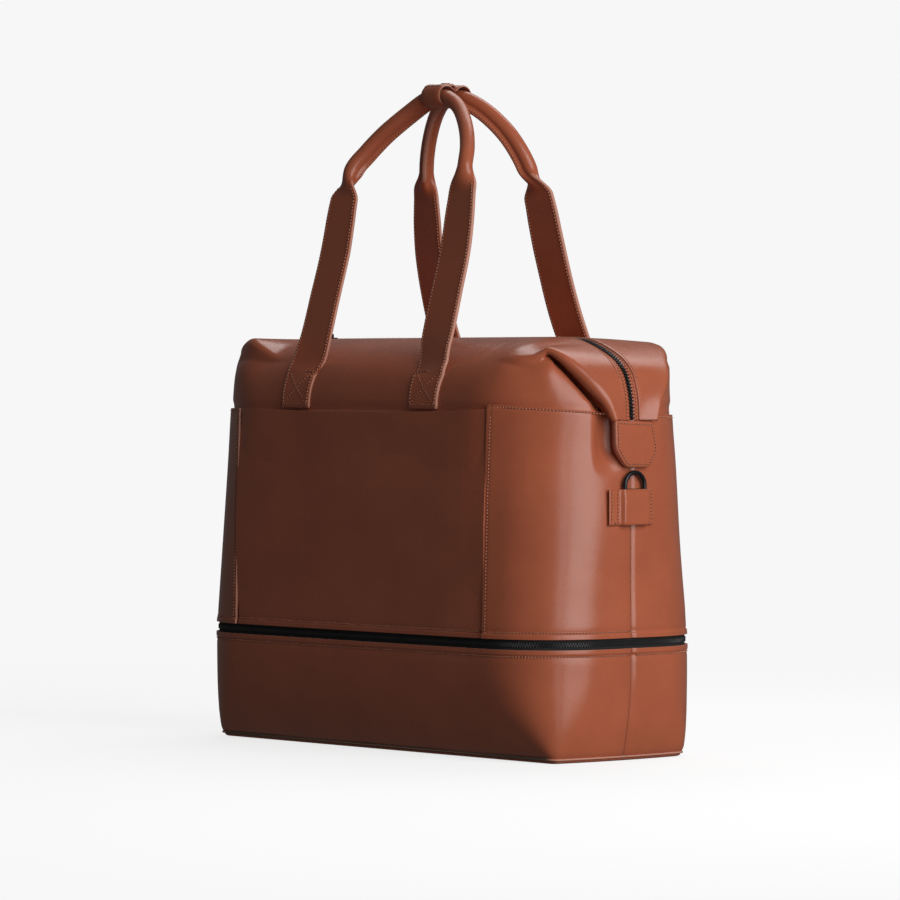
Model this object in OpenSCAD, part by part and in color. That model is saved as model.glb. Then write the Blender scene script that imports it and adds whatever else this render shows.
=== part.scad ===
// Leather weekender duffel with a zip-round shoe compartment in its base.
// Millimetres. Origin under the middle of the base, +X along the bag,
// -Y the pocket side, +Z up.

/* [Body] */
// Length between the end corners at the bottom zip
zip_len = 450; // [440:1:460]
// Depth at the bottom zip
zip_dep = 190; // [184:1:196]
// Length between the end corners at the base
base_len = 434; // [426:1:442]
// Depth at the base
base_dep = 150; // [144:1:160]
// Length between the end corners at the rim under the top panels
rim_len = 416; // [410:1:424]
// Depth at the rim
rim_dep = 187; // [182:1:192]
// Height of the top face
body_h = 340.5; // [336:0.5:345]
// Height of the rim, where the top panels tuck inside
rim_z = 281; // [277:1:285]
// Height of the bottom zip's centre line
zip_z = 95; // [94:0.5:96]
// How far the long sides belly out at mid height
belly = 4; // [2:0.5:5]

/* [Leather] */
// Thickness of the body leather with its backing
hide = 2.4; // [2.2:0.1:2.5]
// Arc length from the middle of the front to the pocket seam
seam_s = 160; // [154:1:162]

/* [Handles] */
// Width of the flat straps
strap_w = 36; // [30:1:38]
// Thickness of the flat straps
strap_t = 3; // [2.4:0.1:3.2]
// Radius of the rolled grip
grip_r = 6.5; // [6:0.1:6.6]
// Height of the middle of the grip
grip_z = 542; // [536:1:550]
// Height of the fold line where the handles leave the sewn feet of their straps
fold_z = 316; // [315:0.5:317]

/* [Hardware] */
// Wire radius of the shoulder strap rings
wire_r = 1.8; // [1.6:0.1:2]
// Half the distance between the ring's legs
ring_half = 10.5; // [9.5:0.5:11.5]

/* [Hidden] */

cognac = [0.47, 0.24, 0.15];
edge_paint = [0.62, 0.38, 0.30];
cloth = [0.30, 0.22, 0.18];
board = [0.35, 0.30, 0.25];
black = [0.05, 0.05, 0.05];

zip_r = 58;          // corner radius in plan at the bottom zip
base_r = 11;         // corner radius in plan at the base
rim_r = 66;          // corner radius in plan at the rim
end_bulge_low = 5;   // how far the end faces bulge below and at the bottom zip
end_bulge_rim = 20;  // how far they bulge at the rim
side_bulge = 3.8;    // how far the long faces bulge along their length
top_bulge = 2;       // how far the top panels do
lip = 4.2;           // from the bottom zip's centre line to each leather edge
gap = 0.3;           // clearance between layers
tuck = hide + gap;   // how far the top panels sit inside the rim
tuck_h = 7;          // height of the skirt tucked behind the rim

top_x = 160;         // half length of the flat of the top
top_slot = 15;       // half depth left open between the top panels
top_clip = 13.4;     // the top panels stop this far from the middle plane
shoulder_n = 2.4;    // roundness of the long shoulders
end_n = 2.2;         // roundness of the end over the middle plane
ear_n = 4;           // roundness of the end at its corners
zip_x = 231;         // half length of the main zip's arch at the rim
placket_in = 5.2;
placket_out = 13;

// ---------- the body's surface ----------

function lerp(a, b, t) = a + (b - a) * t;
function above(z) = (z - zip_z) / (rim_z - zip_z);

// A section is [half length, half depth, corner radius, end bulge, side bulge, height]
function wall(z) =
  z <= zip_z
  ? let (t = z / zip_z)
    [lerp(base_len, zip_len, t) / 2, lerp(base_dep, zip_dep, t) / 2,
     lerp(base_r, zip_r, t), end_bulge_low, side_bulge * t, z]
  : let (t = above(z))
    [lerp(zip_len, rim_len, t) / 2, lerp(zip_dep, rim_dep, t) / 2 + belly * sin(180 * t),
     lerp(zip_r, rim_r, t), lerp(end_bulge_low, end_bulge_rim, t), side_bulge, z];

function arch_fall(t, n) = pow(max(1 - pow(t, n), 0), 1 / n);

// Section of the rounded top: w runs from 0 at the rim to 1 at the flat
function dome(w, d, clip) =
  let (rise = pow(sin(90 * w), 2 / shoulder_n),
       slot = clip + top_slot - top_clip,
       b0 = rim_dep / 2 - tuck - d,
       a0 = rim_len / 2 - tuck - d,
       b = slot + (b0 - slot) * pow(max(cos(90 * w), 0), 2 / shoulder_n),
       a = top_x + (a0 - top_x) * arch_fall(rise, ear_n),
       mid = top_x + (a0 + end_bulge_rim - top_x) * arch_fall(rise, end_n))
  [a, b, (rim_r - tuck - d) * (b - clip - 0.5) / (b0 - clip - 0.5), mid - a,
   top_bulge * cos(90 * w), rim_z + (body_h - rim_z - d) * rise];

// Point and outward normal at arc length s from the middle of the long side
function quarter(s, c) =
  let (flat = c[0] - c[2], arc = c[2] * PI / 2)
  s <= flat ? [s, -c[1], 0, -1]
  : s <= flat + arc
    ? let (g = (s - flat) / c[2] * 180 / PI)
      [flat + c[2] * sin(g), c[2] - c[1] - c[2] * cos(g), sin(g), -cos(g)]
    : [c[0], s - flat - arc + c[2] - c[1], 1, 0];
function quarter_len(c) = c[0] - c[2] + c[2] * PI / 2 + c[1] - c[2];

// Point on a section at signed arc length s, set in by d
function on(c, s, d = 0) =
  let (q = quarter(abs(s), c), x = q[0] - d * q[2], y = q[1] - d * q[3])
  [(s < 0 ? -1 : 1) * x * (1 + c[3] / c[0] * (1 - pow(y / c[1], 2))),
   y * (1 + c[4] / c[1] * (1 - pow(x / c[0], 4))), c[5]];

// Arc length of station k: 0 the middle, 3 to 9 the corner, 11 the end
function station(k, c, clip = 0) =
  let (m = abs(k), arc = c[2] * PI / 2)
  (k < 0 ? -1 : 1) * (m <= 3 ? (c[0] - c[2]) * m / 3
  : m <= 9 ? c[0] - c[2] + arc * (m - 3) / 6
  : c[0] - c[2] + arc + (c[1] - c[2] - clip) * (m - 9) / 2);

// Point right round the body: stations past 11 run back along the far side
function around(k, z, d) =
  let (c = wall(z), m = abs(k), side = k < 0 ? -1 : 1)
  m <= 11 ? on(c, station(k, c), d)
  : let (p = on(c, station(side * (22 - m), c), d)) [p[0], -p[1], p[2]];

// ---------- closed solids from two grids ----------

module skin(outer, inner) {
  nu = len(outer);
  nv = len(outer[0]);
  n = nu * nv;
  function at(i, j) = i * nv + j;
  both = [for (i = [0:nu - 2], j = [0:nv - 2])
    [at(i, j), at(i, j + 1), at(i + 1, j + 1), at(i + 1, j)]];
  front = [for (f = both) each [[f[0], f[1], f[2]], [f[0], f[2], f[3]]]];
  back = [for (f = front) [f[0] + n, f[2] + n, f[1] + n]];
  rims = concat(
    [for (i = [0:nu - 2]) [at(i, 0), at(i + 1, 0)]],
    [for (i = [0:nu - 2]) [at(i + 1, nv - 1), at(i, nv - 1)]],
    [for (j = [0:nv - 2]) [at(0, j + 1), at(0, j)]],
    [for (j = [0:nv - 2]) [at(nu - 1, j), at(nu - 1, j + 1)]]);
  sides = [for (e = rims) each [[e[0], e[1], e[1] + n], [e[0], e[1] + n, e[0] + n]]];
  polyhedron(concat([for (c = outer) each c], [for (c = inner) each c]),
             concat(front, back, sides));
}

// The same, with its columns joined in a ring
module hoop(outer, inner) {
  nu = len(outer);
  nv = len(outer[0]);
  n = nu * nv;
  function at(i, j) = (i % nu) * nv + j;
  both = [for (i = [0:nu - 1], j = [0:nv - 2])
    [at(i, j), at(i, j + 1), at(i + 1, j + 1), at(i + 1, j)]];
  front = [for (f = both) each [[f[0], f[1], f[2]], [f[0], f[2], f[3]]]];
  back = [for (f = front) [f[0] + n, f[2] + n, f[1] + n]];
  rims = concat(
    [for (i = [0:nu - 1]) [at(i, 0), at(i + 1, 0)]],
    [for (i = [0:nu - 1]) [at(i + 1, nv - 1), at(i, nv - 1)]]);
  sides = [for (e = rims) each [[e[0], e[1], e[1] + n], [e[0], e[1] + n, e[0] + n]]];
  polyhedron(concat([for (c = outer) each c], [for (c = inner) each c]),
             concat(front, back, sides));
}

function steps(a, b, n) = [for (i = [0:n]) lerp(a, b, i / n)];

// Outline of the body at height z, set in by d
function outline(z, d) = [for (k = [-22:21]) let (p = around(k, z, d)) [p[0], p[1]]];

module plate(z, h, d) {
  translate([0, 0, z])
    linear_extrude(h)
      polygon(outline(z, d));
}

// A ring of section d0..d1 deep and z0..z1 high right round the body
module belt(z0, z1, d0, d1) {
  hoop([for (k = [-22:21]) [around(k, z0, d0), around(k, z1, d0)]],
       [for (k = [-22:21]) [around(k, z0, d1), around(k, z1, d1)]]);
}

// The same along the front, the ends and the far corners only
module zip_run(z0, z1, d0, d1) {
  skin([for (k = [-19:19]) [around(k, z0, d0), around(k, z1, d0)]],
       [for (k = [-19:19]) [around(k, z0, d1), around(k, z1, d1)]]);
}

// A panel of the long side between arc lengths s0 and s1
module long_panel(s0, s1, zs, d0, d1, n) {
  skin([for (s = steps(s0, s1, n)) [for (z = zs) on(wall(z), s, d0)]],
       [for (s = steps(s0, s1, n)) [for (z = zs) on(wall(z), s, d1)]]);
}

// The panel from the seam round the corner to the middle of the end
module corner_panel(d0, d1) {
  zs = steps(zip_z + lip, rim_z, 6);
  function s_at(u, z) = lerp(seam_s + 0.2, quarter_len(wall(z)) - 0.15, u);
  skin([for (u = steps(0, 1, 10)) [for (z = zs) on(wall(z), s_at(u, z), d0)]],
       [for (u = steps(0, 1, 10)) [for (z = zs) on(wall(z), s_at(u, z), d1)]]);
}

// ---------- the tray: base and shoe compartment ----------

base_t = 2.5;
welt_t = 1.9;
tray_top = zip_z - lip;
tray_foot = base_t + welt_t + 0.2;

module base_panel() {
  color(cognac) plate(0, base_t, 0.4);
}

module base_board() {
  color(board) plate(base_t + 0.1, 2, 3.4);
}

module base_welt() {
  color(edge_paint) belt(base_t + 0.1, base_t + 0.1 + welt_t, -0.5, 3);
}

module half_tray() {
  zs = steps(tray_foot, tray_top, 3);
  skin([for (k = [-11:11]) [for (z = zs) on(wall(z), station(k, wall(z), 0.15), 0)]],
       [for (k = [-11:11]) [for (z = zs) on(wall(z), station(k, wall(z), 0.15), hide)]]);
}

module tray_wall_front() {
  color(cognac) half_tray();
}

module tray_wall_back() {
  color(cognac) mirror([0, 1, 0]) half_tray();
}

module tray_lining() {
  color(cloth) belt(tray_foot + 1.6, tray_top - 7, hide + 1, hide + 1.8);
}

module tray_floor_lining() {
  color(cloth) plate(base_t + 2.3, 0.8, 4.4);
}

tape_d = hide + 0.9;
tape_t = 0.8;
coil_half = 0.6;
coil_w = 2.8;

module bottom_zip_tape_lower() {
  color(black) zip_run(zip_z - 10, zip_z - coil_half, tape_d, tape_d + tape_t);
}

module bottom_zip_coil_lower() {
  color(black) zip_run(zip_z - coil_half - coil_w, zip_z - coil_half, 0.9, tape_d - 0.1);
}

module hinge_gusset() {
  color(cognac)
    mirror([0, 1, 0])
      long_panel(-150, 150, steps(zip_z - 9, zip_z + 9, 6), hide + 0.2, hide + 1.6, 6);
}

// ---------- the main body ----------

panel_foot = zip_z + lip;
inner_foot = zip_z + 11;
skirt_z = rim_z - tuck_h;

module front_pocket_panel() {
  color(cognac) long_panel(-seam_s + 0.2, seam_s - 0.2, steps(panel_foot, rim_z, 6), 0, hide, 12);
}

module front_panel() {
  color(cognac)
    long_panel(-seam_s + 0.2, seam_s - 0.2, steps(inner_foot, skirt_z - 0.5, 6), tuck, tuck + 2, 12);
}

module back_panel() {
  color(cognac)
    mirror([0, 1, 0])
      long_panel(-seam_s + 0.2, seam_s - 0.2, steps(panel_foot, rim_z, 6), 0, hide, 12);
}

module side_panel_front_right() {
  color(cognac) corner_panel(0, hide);
}

module side_panel_front_left() {
  color(cognac) mirror([1, 0, 0]) corner_panel(0, hide);
}

module side_panel_back_right() {
  color(cognac) mirror([0, 1, 0]) corner_panel(0, hide);
}

module side_panel_back_left() {
  color(cognac) mirror([1, 0, 0]) mirror([0, 1, 0]) corner_panel(0, hide);
}

dome_rows = steps(0, 1, 8);

// Columns of a top panel or lining: wall rows zs at set-in d, then the dome
function top_grid(zs, d, clip) =
  [for (k = [-11:11]) concat(
    [for (z = zs) on(wall(z), station(k, wall(z), clip), tuck + d)],
    [for (w = dome_rows) let (c = dome(w, d, clip)) on(c, station(k, c, clip))])];

module top_panel() {
  skin(top_grid([skirt_z], 0, top_clip), top_grid([skirt_z], hide, top_clip));
}

module top_panel_front() {
  color(cognac) top_panel();
}

module top_panel_back() {
  color(cognac) mirror([0, 1, 0]) top_panel();
}

lining_clip = 15;
lining_d = hide + 1.1;

module half_lining() {
  zs = steps(inner_foot, skirt_z, 3);
  skin(top_grid(zs, lining_d, lining_clip), top_grid(zs, lining_d + 0.8, lining_clip));
}

module main_lining_front() {
  color(cloth) half_lining();
}

module main_lining_back() {
  color(cloth) mirror([0, 1, 0]) half_lining();
}

module bottom_zip_tape_upper() {
  color(black) zip_run(zip_z + coil_half, zip_z + 10, tape_d, tape_d + tape_t);
}

module bottom_zip_coil_upper() {
  color(black) zip_run(zip_z + coil_half, zip_z + coil_half + coil_w, 0.9, tape_d - 0.1);
}

module divider_board() {
  color(board) plate(panel_foot + 0.4, 3, tape_d + tape_t + 0.4);
}

// ---------- the main zip ----------

// Point of the zip's arch in the middle plane, set in by d; t runs from -1 to 1
function arch(t, d) =
  let (g = 90 * (1 - abs(t)), rise = pow(sin(g), 2 / end_n))
  [(t < 0 ? -1 : 1) * (top_x + (zip_x - d - top_x) * pow(max(cos(g), 0), 2 / end_n)),
   rim_z + (body_h - rim_z - d) * rise];

arch_n = 10;

// A strip along the arch from depth d0 to d1 and y0 to y1; ends reach down by foot
module arch_strip(d0, d1, y0, y1, foot) {
  function side(d) = concat(
    [[zip_x - d, rim_z - foot]],
    [for (i = [1:arch_n]) arch(i == arch_n ? 0.0001 : 1 - i / arch_n, d)]);
  function line(d) = concat(side(d), [for (i = [arch_n:-1:0]) let (p = side(d)[i]) [-p[0], p[1]]]);
  function row(y, d) = [for (p = line(d)) [p[0], y, p[1]]];
  r = [row(y1, d0), row(y0, d0), row(y1, d1), row(y0, d1)];
  n = len(r[0]);
  skin([for (i = [0:n - 1]) [r[0][n - 1 - i], r[1][n - 1 - i]]],
       [for (i = [0:n - 1]) [r[2][n - 1 - i], r[3][n - 1 - i]]]);
}

zip_foot = 7.6;
coil_in = 0.7;
coil_out = 3.4;
coil_d0 = 0.5;
coil_d1 = 2.2;
placket_t = 2.1;
main_tape_d = 2.5;

module zip_placket_front() {
  color(cognac) arch_strip(0, placket_t, -placket_in, -placket_out, zip_foot);
}

module zip_placket_back() {
  color(cognac) mirror([0, 1, 0]) arch_strip(0, placket_t, -placket_in, -placket_out, zip_foot);
}

module main_zip_tape_front() {
  color(black) arch_strip(main_tape_d, main_tape_d + 0.7, -coil_in, -placket_out, -1);
}

module main_zip_tape_back() {
  color(black) mirror([0, 1, 0]) arch_strip(main_tape_d, main_tape_d + 0.7, -coil_in, -placket_out, -1);
}

module main_zip_coil_front() {
  color(black) arch_strip(coil_d0, coil_d1, -coil_in, -coil_out, zip_foot);
}

module main_zip_coil_back() {
  color(black) mirror([0, 1, 0]) arch_strip(coil_d0, coil_d1, -coil_in, -coil_out, zip_foot);
}

// Slider: two plates joined by a thin neck, with lugs that hold a pin.
// Drawn over the origin: travel along X, the zip's face at z = 0.
slider_len = 13;
slider_w = 9;
slider_h = 4.9;       // from the zip's face down to the back of the slider
neck_w = 0.8;
cut = 3;              // size of the bevels on the slider's nose
lug_l = 3.2;
lug_t = 1.2;
lug_y = 2.9;
pin_z = 2.9;
pin_r = 0.8;
pin_l = 6;
plate_t = 1.1;
embed = 0.2;          // how far a plate reaches into the part it is joined to

module slider() {
  difference() {
    translate([-slider_len / 2, -slider_w / 2, -embed])
      cube([slider_len, slider_w, plate_t + embed]);
    for (s = [-1, 1])
      translate([slider_len / 2, s * (slider_w / 2 + 1), -1])
        rotate(45)
          cube([cut, cut, 2 * cut], center = true);
  }
  translate([-slider_len / 2, -neck_w / 2, plate_t - slider_h - 0.1])
    cube([slider_len, neck_w, slider_h - plate_t]);
  translate([-slider_len / 2, -slider_w / 2, -slider_h])
    cube([slider_len, slider_w, plate_t]);
  for (s = [-1, 1])
    translate([-lug_l / 2, s * lug_y - lug_t / 2, plate_t - 0.1])
      cube([lug_l, lug_t, pin_z + 0.3]);
  translate([0, pin_l / 2, pin_z])
    rotate([90, 0, 0])
      cylinder(r = pin_r, h = pin_l, $fn = 32);
}

// Pull: an eye round the pin and a flat tongue with a hole near its tip
pull_len = 26;
pull_t = 1.2;
eye_r = 1.7;
eye_w = 4;
tongue_r = 3;         // half width of the tongue and radius of its tip
tip_hole_r = 1.2;
pin_clear = 0.08;

module pull() {
  difference() {
    union() {
      translate([0, eye_w / 2, 0])
        rotate([90, 0, 0])
          cylinder(r = eye_r, h = eye_w, $fn = 32);
      translate([-pull_len / 3 - 1, -eye_w / 2, -pull_t / 2])
        cube([pull_len / 3, eye_w, pull_t]);
      translate([tongue_r - pull_len, -tongue_r, -pull_t / 2])
        cube([pull_len * 2 / 3 - tongue_r, 2 * tongue_r, pull_t]);
      translate([tongue_r - pull_len, 0, -pull_t / 2])
        cylinder(r = tongue_r, h = pull_t, $fn = 32);
    }
    translate([0, pin_l / 2, 0])
      rotate([90, 0, 0])
        cylinder(r = pin_r + pin_clear, h = pin_l, $fn = 32);
    translate([tongue_r - pull_len, 0, -pull_t])
      cylinder(r = tip_hole_r, h = 2 * pull_t, $fn = 32);
  }
}

main_slider_x = -154;

module main_zip_slider() {
  color(black) translate([main_slider_x, 0, body_h]) slider();
}

module main_zip_pull() {
  color(black) translate([main_slider_x, 0, body_h + pin_z]) pull();
}

// The bottom slider faces -X, on the far half of the left end
bottom_slider_x = -(zip_len / 2 + end_bulge_low + 0.1);
bottom_slider_y = 30;

module bottom_zip_slider() {
  color(black)
    translate([bottom_slider_x, bottom_slider_y, zip_z])
      rotate([0, -90, 0])
        rotate(90)
          bottom_slider();
}

// Its face plate runs between the leather lips and its thin neck between the tapes,
// so the tapes are free to part when the compartment opens
face_plate_w = 2 * (lip - 0.3);
back_plate_w = 6.8;
back_plate_z = -7;
side_lug_x = 3.2;     // the lugs stand at the ends of a pin laid along the slider
side_lug_w = 2.8;
side_pin_l = 6.8;

module bottom_slider() {
  translate([-slider_len / 2, -face_plate_w / 2, -embed])
    cube([slider_len, face_plate_w, plate_t + embed]);
  translate([-slider_len / 2, -neck_w / 2, back_plate_z + 0.1])
    cube([slider_len, neck_w, -back_plate_z]);
  translate([-slider_len / 2, -back_plate_w / 2, back_plate_z])
    cube([slider_len, back_plate_w, plate_t]);
  for (s = [-1, 1])
    translate([s * side_lug_x - lug_t / 2, -side_lug_w / 2, plate_t - 0.1])
      cube([lug_t, side_lug_w, pin_z + 0.3]);
  translate([-side_pin_l / 2, 0, pin_z])
    rotate([0, 90, 0])
      cylinder(r = pin_r, h = side_pin_l, $fn = 32);
}

module bottom_zip_pull() {
  color(black)
    translate([bottom_slider_x - pin_z, bottom_slider_y, zip_z])
      rotate([0, -90, 0])
        pull();
}

// ---------- end tabs and ring patches ----------

tab_x = zip_len / 2 + 4.4;
tab_t = 3.6;
tab_top = rim_z - 8.5;
tab_h = 36.5;
tab_corner = 4;       // radius of the two lower corners
tab_tip_w = 27;       // width at the foot, at the shoulders and along the top
tab_wide = 47;
tab_top_w = 44;
tab_shoulder = 14;    // height of the shoulders above the foot

module end_tab() {
  translate([tab_x, 0, tab_top - tab_h])
    rotate([90, 0, 90])
      linear_extrude(tab_t)
        hull() {
          for (s = [-1, 1])
            translate([s * (tab_tip_w / 2 - tab_corner), tab_corner])
              circle(r = tab_corner, $fn = 32);
          translate([-tab_wide / 2, tab_shoulder])
            square([tab_wide, 2]);
          translate([-tab_top_w / 2, tab_h - 1])
            square([tab_top_w, 1]);
        }
}

module end_tab_right() {
  color(cognac) end_tab();
}

module end_tab_left() {
  color(cognac) mirror([1, 0, 0]) end_tab();
}

ring_x = tab_x + 1 + wire_r;
ring_z = 217;
ring_clear = 0.08;
ring_swing = 50;      // the cradle leaves room for the ring to swing out by this angle
patch_h = 27;
patch_w = 48;
patch_t = 1.6;
wing_t = 2.6;
cradle_w = 30;
cradle_rise = 1.2;

// Folded leather holder: two layers on the body with a cradle for the ring's bar
module ring_patch() {
  difference() {
    union() {
      translate([tab_x - 0.1, -patch_w / 2, ring_z - patch_h])
        cube([wing_t, patch_w, patch_h - 2]);
      translate([tab_x - 0.1, -cradle_w / 2, ring_z - patch_h])
        cube([ring_x + wire_r + patch_t - tab_x, cradle_w, patch_h + cradle_rise]);
    }
    translate([ring_x, patch_w / 2, ring_z])
      rotate([90, 0, 0])
        cylinder(r = wire_r + ring_clear, h = patch_w, $fn = 48);
    for (swing = [0, ring_swing])
      translate([ring_x, 0, ring_z])
        rotate([0, swing, 0])
          translate([-wire_r - 2 * ring_clear, -patch_w / 2, 0])
            cube([2 * (wire_r + 2 * ring_clear), patch_w, 3 * wing_t + 4]);
  }
}

leg = 4.2;            // straight part of the ring's sides

module ring_patch_right() {
  color(cognac) ring_patch();
}

module ring_patch_left() {
  color(cognac) mirror([1, 0, 0]) ring_patch();
}

module d_ring() {
  translate([ring_x, 0, ring_z]) {
    translate([0, ring_half, 0])
      rotate([90, 0, 0])
        cylinder(r = wire_r, h = 2 * ring_half, $fn = 48);
    for (s = [-1, 1]) {
      translate([0, s * ring_half, 0])
        cylinder(r = wire_r, h = leg, $fn = 48);
      translate([0, s * ring_half, 0])
        sphere(r = wire_r, $fn = 48);
    }
    translate([0, 0, leg])
      rotate([90, 0, 90])
        rotate_extrude(angle = 180, $fn = 48)
          translate([ring_half, 0])
            circle(r = wire_r, $fn = 48);
  }
}

module d_ring_right() {
  color(black) d_ring();
}

module d_ring_left() {
  color(black) mirror([1, 0, 0]) d_ring();
}

// ---------- handles ----------

strap_x = 82;         // from the middle to each strap's centre at its foot
anchor_gap = 0.45;
anchor_rise = 1.3;    // from the rim up to the strap's end
fold_gap = 2.3;       // from the sewn end up to the handle's fold line
patch_half = 15;
patch_inset = 6;
foot_y = 87.6;        // from the middle plane to the handle's fold line

// Half depth of the top panel's face at height z and place x
function face_y(x, z) =
  let (t = (z - rim_z) / (body_h - rim_z), b0 = rim_dep / 2 - tuck,
       b = top_slot + (b0 - top_slot) * arch_fall(t, shoulder_n))
  b + top_bulge * (1 - pow(x / (rim_len / 2), 4));

// Sewn end of a strap on the front right
module strap_foot() {
  zs = steps(rim_z + anchor_rise, fold_z - fold_gap, 4);
  xs = steps(strap_x - strap_w / 2, strap_x + strap_w / 2, 4);
  skin([for (x = xs) [for (z = zs) [x, -face_y(x, z) - anchor_gap - strap_t, z]]],
       [for (x = xs) [for (z = zs) [x, -face_y(x, z) - anchor_gap, z]]]);
}

module handle_anchor_front_right() {
  color(cognac) strap_foot();
}

module handle_anchor_front_left() {
  color(cognac) mirror([1, 0, 0]) strap_foot();
}

module handle_anchor_back_right() {
  color(cognac) mirror([0, 1, 0]) strap_foot();
}

module handle_anchor_back_left() {
  color(cognac) mirror([1, 0, 0]) mirror([0, 1, 0]) strap_foot();
}

// Fibre patches that the straps are sewn through, behind the top panels
module backing_patch() {
  zs = steps(rim_z + patch_inset, fold_z - patch_inset - fold_gap, 2);
  xs = steps(strap_x - patch_half, strap_x + patch_half, 2);
  skin([for (x = xs) [for (z = zs) [x, -face_y(x, z) + hide + 0.7, z]]],
       [for (x = xs) [for (z = zs) [x, -face_y(x, z) + hide + 1, z]]]);
}

module handle_backing_patches() {
  color(board)
    for (i = [0, 1], j = [0, 1])
      mirror([i, 0, 0])
        mirror([0, j, 0])
          backing_patch();
}

grip_y = 9.1;         // from the middle plane to each grip at its crown

// Centre line of one half of each handle, from the fold line to the middle
front_half = [
  [strap_x, -foot_y, fold_z + 0.3], [81.5, -78, 342], [78, -62, 392], [75, -47, 456],
  [64.5, -33, 497], [38, -17, 529], [0, -grip_y, grip_z]
];
back_half = [
  [strap_x, foot_y, fold_z + 0.3], [81.5, 71.5, 342], [78, 52, 392], [73, 40, 456],
  [62, 31.5, 496], [37, 18, 528], [0, grip_y, grip_z]
];
half_n = 6;

function full_line(h) = concat(h, [for (i = [half_n - 1:-1:0]) [-h[i][0], h[i][1], h[i][2]]]);

// Smooth curve through the points of a list
function curve(p, t) =
  let (i = min(floor(t), len(p) - 2), u = t - i,
       a = p[max(i - 1, 0)], b = p[i], c = p[i + 1], d = p[min(i + 2, len(p) - 1)])
  0.5 * (2 * b + (c - a) * u + (2 * a - 5 * b + 4 * c - d) * u * u
         + (3 * b - 3 * c + d - a) * u * u * u);

function unit(v) = v / norm(v);
function smooth(t) = let (u = min(max(t, 0), 1)) u * u * (3 - 2 * u);

// Ring of a swept shape at parameter t, half width hw and half thickness ht
function slice(p, t, hw, ht, n, lean) =
  let (e = 0.02, c = curve(p, t),
       dir = unit(curve(p, min(t + e, len(p) - 1)) - curve(p, max(t - e, 0))),
       w = unit(cross(dir, lean)), v = cross(w, dir),
       k = 2 / lerp(2, 7, smooth((hw / ht - 1) / 3)))
  [for (i = [0:n - 1]) let (g = 360 * i / n + 15, cx = cos(g), cy = sin(g))
    c + w * hw * sign(cx) * pow(abs(cx), k) + v * ht * sign(cy) * pow(abs(cy), k)];

// Half width along the handle: flat strap, then rolled
function roll(t) = smooth((3.35 - half_n + abs(t - half_n)) / 0.55);

module tube(rings) {
  m = len(rings);
  n = len(rings[0]);
  pts = [for (r = rings) each r];
  faces = concat(
    [[for (i = [0:n - 1]) n - 1 - i]],
    [for (j = [0:m - 2], i = [0:n - 1]) let (a = j * n + i, b = j * n + (i + 1) % n)
      each [[a, b, a + n], [b, b + n, a + n]]],
    [[for (i = [0:n - 1]) (m - 1) * n + i]]);
  polyhedron(pts, faces);
}

module handle(half, lean) {
  line = full_line(half);
  tube([for (t = steps(0, 2 * half_n, 52))
    slice(line, t, lerp(grip_r, strap_w / 2, roll(t)), lerp(grip_r, strap_t / 2, roll(t)), 12, lean)]);
}

front_lean = [0, -0.96, 0.28];
back_lean = [0, -0.96, -0.28];

module front_handle() {
  color(cognac) handle(front_half, front_lean);
}

module back_handle() {
  color(cognac) handle(back_half, back_lean);
}

keeper_in = grip_r + 0.45;
keeper_out = 8.8;
keeper_tab_w = 16;
keeper_tab_l = 12.6;
keeper_tab_t = 1.2;
snap_y = -0.8;
snap_r1 = 4.4;
snap_r2 = 3.6;
snap_h = 1.5;

// A loop round one grip
module keeper_loop(half, lean) {
  ts = steps(half_n - 0.3, half_n + 0.3, 4);
  line = full_line(half);
  function rows(r) =
    let (s = [for (t = ts) slice(line, t, r, r, 16, lean)])
    [for (i = [15:-1:0]) [for (q = s) q[i]]];
  hoop(rows(keeper_out), rows(keeper_in));
}

module keeper_front() {
  color(cognac) {
    keeper_loop(front_half, front_lean);
    translate([-keeper_tab_w / 2, -grip_y, grip_z + keeper_out - keeper_tab_t / 2])
      cube([keeper_tab_w, keeper_tab_l, keeper_tab_t]);
  }
}

module keeper_back() {
  color(cognac) keeper_loop(back_half, back_lean);
}

module snap_cap() {
  color(black)
    translate([0, snap_y, grip_z + keeper_out + keeper_tab_t / 2])
      cylinder(r1 = snap_r1, r2 = snap_r2, h = snap_h, $fn = 48);
}

base_panel();
base_board();
base_welt();
tray_wall_front();
tray_wall_back();
tray_lining();
tray_floor_lining();
bottom_zip_tape_lower();
bottom_zip_coil_lower();
hinge_gusset();
front_pocket_panel();
front_panel();
side_panel_front_right();
side_panel_front_left();
side_panel_back_right();
side_panel_back_left();
back_panel();
top_panel_front();
top_panel_back();
zip_placket_front();
zip_placket_back();
main_zip_tape_front();
main_zip_tape_back();
main_zip_coil_front();
main_zip_coil_back();
bottom_zip_tape_upper();
bottom_zip_coil_upper();
divider_board();
main_lining_front();
main_lining_back();
handle_anchor_front_right();
handle_anchor_front_left();
handle_anchor_back_right();
handle_anchor_back_left();
handle_backing_patches();
end_tab_right();
end_tab_left();
ring_patch_right();
ring_patch_left();
main_zip_slider();
main_zip_pull();
bottom_zip_slider();
bottom_zip_pull();
front_handle();
back_handle();
keeper_front();
keeper_back();
snap_cap();
d_ring_right();
d_ring_left();
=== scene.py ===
"""Leather weekender with a zip-round shoe compartment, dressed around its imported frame."""
import math

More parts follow.
